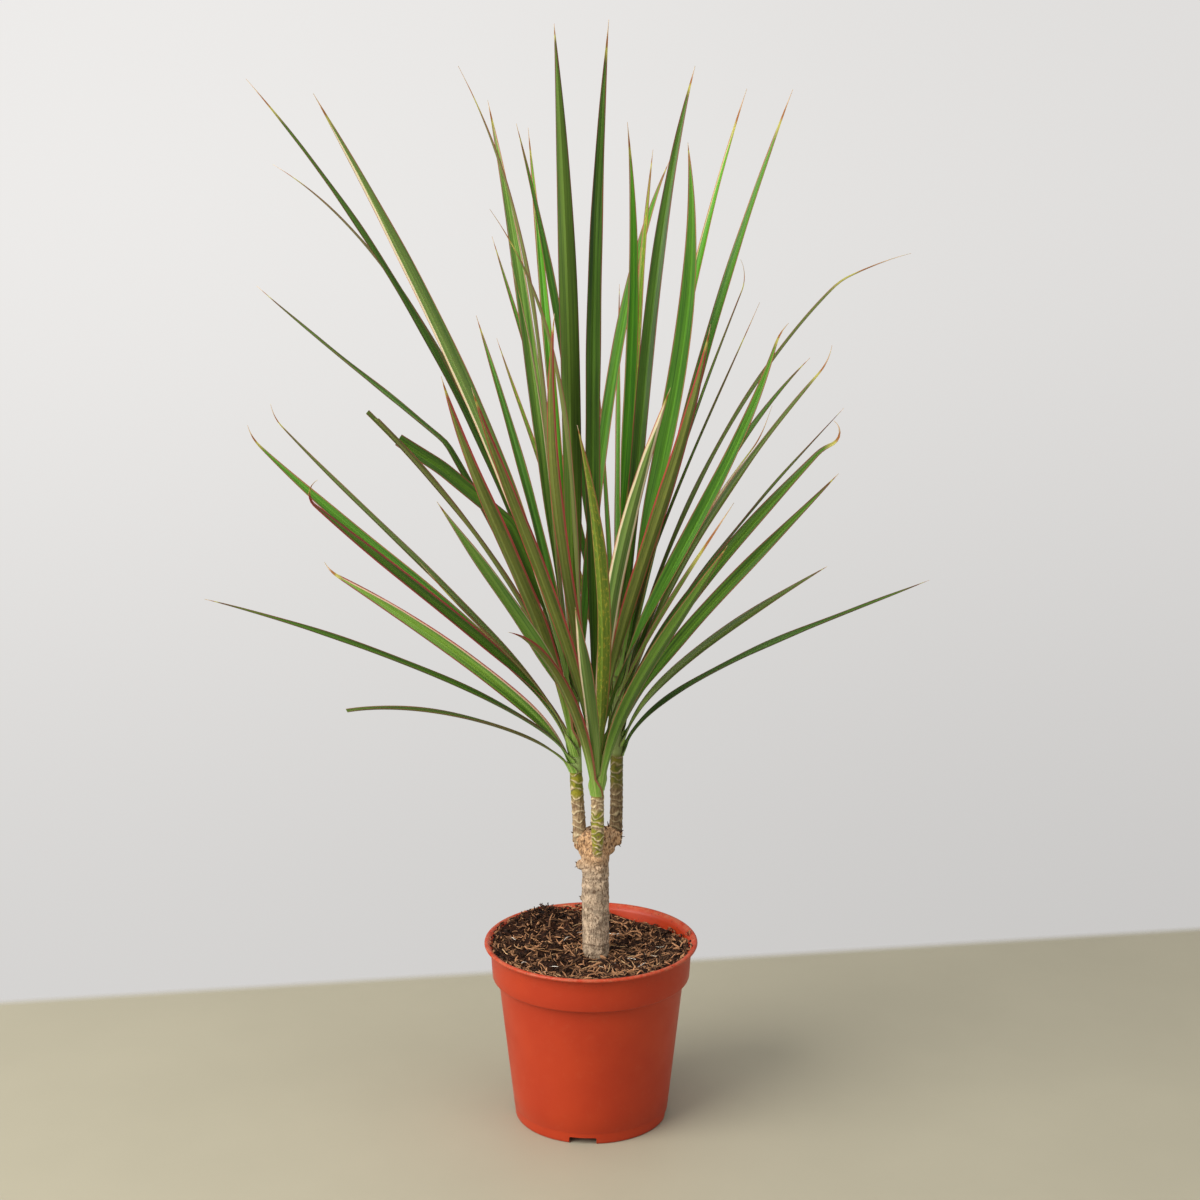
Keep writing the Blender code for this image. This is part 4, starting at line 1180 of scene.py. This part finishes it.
class DRAGONTREE_OT_cane(bpy.types.Operator):
    """Grow the old cane, fuse its knobs to it, roughen its bark and add the torn scraps at its top"""

    bl_idname = "dragontree.cane"
    bl_label = "Cane"
    bl_options = {"REGISTER", "UNDO"}

    def execute(self, context):
        settings = context.scene.dragontree_stems
        foot, top = CANE[0][2], CANE[-1][2]
        rings = []
        for i in range(CANE_STEPS + 1):
            height = foot + (top - foot) * i / CANE_STEPS
            x, y, radius = cane_point(height)
            rings.append((x, y, height, radius))
        parts = [grown_rings("cane_core", rings, 72)]
        for *centre, radius in CANE_KNOBS:
            deselect_all()
            place = tuple(c * MM for c in centre)
            bpy.ops.mesh.primitive_uv_sphere_add(
                segments=32, ring_count=20, radius=radius * MM, location=place
            )
            parts.append(made("knob"))
        cane = joined(parts, "woody_cane")
        fuse = cane.modifiers.new("Fuse", "REMESH")
        fuse.mode = "VOXEL"
        fuse.voxel_size = settings.voxel
        ease = cane.modifiers.new("Ease", "SMOOTH")
        ease.iterations = 14
        ease.factor = 0.5
        for name, size, strength in CANE_RELIEF:
            texture = bpy.data.textures.new(name, "CLOUDS")
            texture.noise_scale = size
            texture.noise_depth = 3
            push = cane.modifiers.new(name, "DISPLACE")
            push.texture = texture
            push.texture_coords = "LOCAL"
            push.strength = strength
            push.mid_level = 0.5
        apply_modifiers(cane)
        cracks = []
        for vert in cane.data.vertices:
            x, y, z = (c / MM for c in vert.co)
            cx, cy, radius = cane_point(z)
            outwards = Vector((x - cx, y - cy, 0.0))
            wobble = 0.5 * math.sin(math.atan2(y - cy, x - cx) * 2.0 + z * 0.3)
            wobble += 0.8 * noise.noise(Vector((x, y, z)) / 5.0)
            sunk, dark = 0.0, 0.0
            for height, depth in CANE_RINGS:
                near = math.exp(-(((z + wobble - height) / 0.55) ** 2))
                sunk += depth * near
                dark = max(dark, near * depth / 0.4)
            knob = eased(z, 166.0, 174.0) * eased(noise.noise(Vector((x, y, z * 0.7)) / 1.5), 0.1, 0.45)
            cracks.append(min(1.0, dark * 0.8 + knob))
            if outwards.length > 0.5:
                vert.co -= outwards.normalized() * (sunk + 0.5 * knob) * MM
        point_values(cane, "crack", "FLOAT", cracks)
        smooth(cane, 60.0)
        cane.data.materials.append(cane_material(tuple(settings.bark)))
        rides(cane, "cane_bark", "cane")
        self.scraps()
        return {"FINISHED"}

    def scraps(self):
        """Small torn wedges of dark bark."""
        bits = []
        for i, (place, length, way) in enumerate(BARK_SCRAPS):
            deselect_all()
            bpy.ops.mesh.primitive_cone_add(
                vertices=7, radius1=0.30, radius2=0.06, depth=1.0, location=(0.0, 0.0, 0.35)
            )
            scrap = made("scrap")
            edit_all()
            bpy.ops.mesh.subdivide(number_cuts=2)
            bpy.ops.transform.resize(value=(1.0, 0.55, 1.0), center_override=(0.0, 0.0, 0.0))
            bpy.ops.transform.vertex_random(offset=0.07, seed=i)
            bpy.ops.object.mode_set(mode="OBJECT")
            at_origin(scrap)
            turn = Vector((0.0, 0.0, 1.0)).rotation_difference(Vector(way)).to_matrix().to_4x4()
            size = Matrix.Diagonal((length * 0.9 * MM, length * 0.9 * MM, length * MM, 1.0))
            turn = turn @ Matrix.Rotation(i * 1.3, 4, "Z")
            scrap.data.transform(Matrix.Translation(Vector(place) * MM) @ turn @ size)
            bits.append(scrap)
        scraps = joined(bits, "bark_scraps")
        weld(scraps, 0.000001)
        smooth(scraps, 45.0)
        dark, light = (0.030, 0.014, 0.008), (0.16, 0.075, 0.035)
        scraps.data.materials.append(mix_material("torn_bark", dark, light, 900.0, 0.9, tinted=False))
        rides(scraps, "cane_bark")


class DRAGONTREE_OT_shoots(bpy.types.Operator):
    """Grow the three young shoots with their rings of leaf scars"""

    bl_idname = "dragontree.shoots"
    bl_label = "Shoots"
    bl_options = {"REGISTER", "UNDO"}

    def execute(self, context):
        settings = context.scene.dragontree_stems
        for crown in SHOOTS:
            material = shoot_material(f"shoot_bark_{crown}", tuple(settings.green), SHOOT_PAINTED_SHADE[crown])
            shoot = self.shoot(crown)
            shoot.data.materials.append(material)
            rides(shoot, "shoot_bark", f"shoot_{crown}")
        return {"FINISHED"}

    def shoot(self, crown):
        stem = [Vector(point) for point in SHOOTS[crown]]
        rise = len(LEAVES[crown]) * LEAF_PITCH + GROWING_TIP_RISE
        foot_z, collar_z, top_z = stem[0].z, stem[-1].z, stem[-1].z + rise
        rings = []
        for i in range(SHOOT_RINGS + 1):
            z = foot_z + (top_z - foot_z) * i / SHOOT_RINGS
            if z >= collar_z:
                x, y = stem[-1].x, stem[-1].y
                radius = stem_radius(crown, z - collar_z)
            else:
                k = max(j for j in range(len(stem) - 1) if stem[j].z <= z)
                t = (z - stem[k].z) / (stem[k + 1].z - stem[k].z)
                point = stem[k].lerp(stem[k + 1], t)
                x, y = point.x, point.y
                foot, knee = SHOOT_FEET[crown]
                radius = foot + (knee - foot) * eased(z, foot_z, stem[1].z)
                radius += (SHOOT_RADIUS - knee) * eased(z, stem[1].z, stem[2].z)
            rings.append((x, y, z, radius))
        shoot = grown_rings(f"young_shoot_{crown}", rings, 56)
        pitch, green_from, green_over = SHOOT_BARK[crown]
        seed = SHOOT_SEED[crown]
        scar, young, crack, sheath = [], [], [], []
        for vert in shoot.data.vertices:
            x, y, z = (c / MM for c in vert.co)
            i = min(max(round((z - foot_z) / (top_z - foot_z) * SHOOT_RINGS), 0), SHOOT_RINGS)
            cx, cy, _, radius = rings[i]
            bearing = math.atan2(y - cy, x - cx)
            # A scar runs round the stem as a slack zigzag, no two alike.
            wobble = 0.9 * math.sin(bearing * 2.0 + z * 0.45 + seed) + 0.5 * math.sin(bearing * 3.0 - z * 0.8)
            round_stem = Vector((math.cos(bearing) * 1.2, math.sin(bearing) * 1.2, z / 9.0 + seed))
            wobble += 1.3 * noise.noise(round_stem)
            phase = ((z + wobble) / pitch + seed) % 1.0
            ridge = math.exp(-(((phase - 0.5) * pitch / 0.50) ** 2))
            under = math.exp(-(((phase - 0.5) * pitch + 0.75) / 0.40) ** 2)
            bare = 1.0 - eased(z, collar_z - 4.0, collar_z + 2.0)
            strength = 0.35 + 0.65 * eased(noise.noise(Vector((bearing, z / 4.0, seed))), -0.3, 0.25)
            rough = 0.22 * noise.noise(Vector((x, y, z * 0.6)) / 1.3)
            push = (0.34 * ridge * strength - 0.16 * under + rough) * bare
            outwards = Vector((x - cx, y - cy, 0.0))
            if outwards.length > 0.3:
                vert.co += outwards.normalized() * push * MM
            patchy = 0.55 + 0.9 * noise.noise(Vector((x, y, z)) / 3.2)
            greener = eased(z, green_from - green_over / 2, green_from + green_over / 2)
            if crown == "front":
                papery = eased(z, PAPERY[0], PAPERY[1]) * (1.0 - eased(z, PAPERY[2], PAPERY[3]))
                greener *= 1.0 - 0.97 * papery
                greener *= eased(patchy, 0.12, 0.45)
            scar.append(min(1.0, ridge * strength * bare * 1.9))
            young.append(greener)
            crack.append(under * bare * (0.45 + 0.3 * strength))
            sheath.append(eased(z, collar_z - 1.5, collar_z + 1.5))
        for name, values in (("scar", scar), ("young", young), ("crack", crack), ("sheath", sheath)):
            point_values(shoot, name, "FLOAT", values)
        smooth(shoot, 60.0)
        return shoot


class DRAGONTREE_OT_leaves(bpy.types.Operator):
    """Lay every leaf of the three crowns, and the few dried threads between them"""

    bl_idname = "dragontree.leaves"
    bl_label = "Leaves"
    bl_options = {"REGISTER", "UNDO"}

    def execute(self, context):
        settings = context.scene.dragontree_leaves
        materials = {}
        for name, look in LOOKS.items():
            materials[name] = [
                leaf_material(f"leaf_{name}_{side}", look[side], look, rough, settings.brightness)
                for side, rough in (("upper", settings.roughness), ("under", settings.roughness + 0.08))
            ]
        seed = 0
        for crown, leaves in LEAVES.items():
            for i, leaf in enumerate(leaves):
                seed += 1
                node = f"leaf_{crown}_{i + 1:02d}"
                blade = make_blade(
                    f"blade_{crown}_{i + 1:02d}", crown, i * LEAF_PITCH, leaf, seed,
                    materials[leaf["look"]], settings.thickness,
                )
                check_place(blade, node)
                rides(blade, "leaf_green", node)
        for i, leaf in enumerate(DRY_THREADS):
            blade = make_blade(
                f"dry_thread_{i + 1}", leaf["crown"], leaf["height"], leaf, 100 + i,
                materials[leaf["look"]], settings.thickness,
            )
            rides(blade, "leaf_green")
        return {"FINISHED"}


class DRAGONTREE_OT_stage(bpy.types.Operator):
    """Lay the pale floor, light it softly and set the camera"""

    bl_idname = "dragontree.stage"
    bl_label = "Stage"
    bl_options = {"REGISTER", "UNDO"}

    def execute(self, context):
        settings = context.scene.dragontree_stage
        deselect_all()
        bpy.ops.mesh.primitive_circle_add(vertices=96, radius=FLOOR_RADIUS, fill_type="NGON")
        floor = made("stage_floor")
        floor.data.transform(Matrix.Translation((0.0, 0.0, -0.0001)))
        floor.data.materials.append(floor_material(tuple(settings.floor)))
        self.backdrop(context.scene, tuple(settings.backdrop))
        for name, place, size, share, colour in LIGHTS:
            self.light(name, place, size, settings.key_power * share, colour)
        turn = (math.radians(90.0 - CAMERA_TILT), 0.0, 0.0)
        bpy.ops.object.camera_add(location=CAMERA_PLACE, rotation=turn)
        camera = bpy.context.active_object
        camera.name = "camera"
        camera.data.sensor_width = SENSOR_WIDTH
        camera.data.lens = CAMERA_LENS
        context.scene.camera = camera
        context.scene.view_settings.view_transform = "Standard"
        return {"FINISHED"}

    def light(self, name, place, size, power, colour):
        bpy.ops.object.light_add(type="AREA", location=place)
        lamp = bpy.context.active_object
        lamp.name = name + "_light"
        lamp.data.shape = "DISK"
        lamp.data.size = size
        lamp.data.energy = power
        lamp.data.color = colour
        aim = Vector(LIGHT_AIM) - Vector(place)
        lamp.rotation_euler = aim.to_track_quat("-Z", "Y").to_euler()

    def backdrop(self, scene, colour):
        """Pale surroundings with painted shade to the right and downwards, dimmer as a light than as a
        backdrop.
        """
        world = bpy.data.worlds.new("backdrop")
        world.use_nodes = True
        scene.world = world
        nodes, links = world.node_tree.nodes, world.node_tree.links
        coords = nodes.new("ShaderNodeTexCoord")
        split = nodes.new("ShaderNodeSeparateXYZ")
        links.new(coords.outputs["Generated"], split.inputs["Vector"])
        # Painted shade: the backdrop seen by the camera is dimmed to the right and downwards.
        dimmed = []
        for axis, start, end, loss in WALL_PAINTED_SHADE:
            fall = nodes.new("ShaderNodeMapRange")
            fall.interpolation_type = "SMOOTHSTEP"
            spans = {"From Min": start, "From Max": end, "To Min": 1.0, "To Max": 1.0 - loss}
            for key, value in spans.items():
                fall.inputs[key].default_value = value
            links.new(split.outputs[axis], fall.inputs["Value"])
            dimmed.append(fall.outputs["Result"])
        level = nodes.new("ShaderNodeMath")
        level.operation = "MULTIPLY"
        links.new(dimmed[0], level.inputs[0])
        links.new(dimmed[1], level.inputs[1])
        seen = nodes["Background"]
        seen.inputs["Color"].default_value = (*colour, 1.0)
        links.new(level.outputs["Value"], seen.inputs["Strength"])
        lit = nodes.new("ShaderNodeBackground")
        lit.inputs["Color"].default_value = (*SURROUNDINGS, 1.0)
        lit.inputs["Strength"].default_value = SURROUNDINGS_STRENGTH
        path = nodes.new("ShaderNodeLightPath")
        mixer = nodes.new("ShaderNodeMixShader")
        links.new(path.outputs["Is Camera Ray"], mixer.inputs["Fac"])
        links.new(lit.outputs["Background"], mixer.inputs[1])
        links.new(seen.outputs["Background"], mixer.inputs[2])
        links.new(mixer.outputs["Shader"], nodes["World Output"].inputs["Surface"])


class DRAGONTREE_PT_panel(bpy.types.Panel):
    """Lists the pieces in the order they are made"""

    bl_idname = "DRAGONTREE_PT_panel"
    bl_label = "Dragon Tree"
    bl_space_type = "VIEW_3D"
    bl_region_type = "UI"
    bl_category = "Dragon Tree"

    def draw(self, context):
        rows = (
            ("dragontree.stage", "dragontree_stage", ("floor", "backdrop", "key_power")),
            ("dragontree.pot", "dragontree_pot", ("colour", "roughness", "steps")),
            ("dragontree.mix", "dragontree_mix", ("colour", "crumbs", "chips", "fibres", "long_fibres")),
            ("dragontree.cane", "dragontree_stems", ("bark", "voxel")),
            ("dragontree.shoots", "dragontree_stems", ("green",)),
            ("dragontree.leaves", "dragontree_leaves", ("thickness", "roughness", "brightness")),
        )
        for operator, group, names in rows:
            box = self.layout.box()
            for name in names:
                box.prop(getattr(context.scene, group), name)
            box.operator(operator)


SETTINGS = {
    "dragontree_pot": PotSettings,
    "dragontree_mix": MixSettings,
    "dragontree_stems": StemSettings,
    "dragontree_leaves": LeafSettings,
    "dragontree_stage": StageSettings,
}
CLASSES = (
    *SETTINGS.values(),
    DRAGONTREE_OT_stage,
    DRAGONTREE_OT_pot,
    DRAGONTREE_OT_mix,
    DRAGONTREE_OT_cane,
    DRAGONTREE_OT_shoots,
    DRAGONTREE_OT_leaves,
    DRAGONTREE_PT_panel,
)


def register():
    for item in CLASSES:
        bpy.utils.register_class(item)
    for name, group in SETTINGS.items():
        setattr(bpy.types.Scene, name, PointerProperty(type=group))


def unregister():
    for name in SETTINGS:
        delattr(bpy.types.Scene, name)
    for item in reversed(CLASSES):
        bpy.utils.unregister_class(item)


def main():
    register()
    bpy.ops.dragontree.stage()
    bpy.ops.dragontree.pot()
    bpy.ops.dragontree.mix()
    bpy.ops.dragontree.cane()
    bpy.ops.dragontree.shoots()
    bpy.ops.dragontree.leaves()


if __name__ == "__main__":
    main()
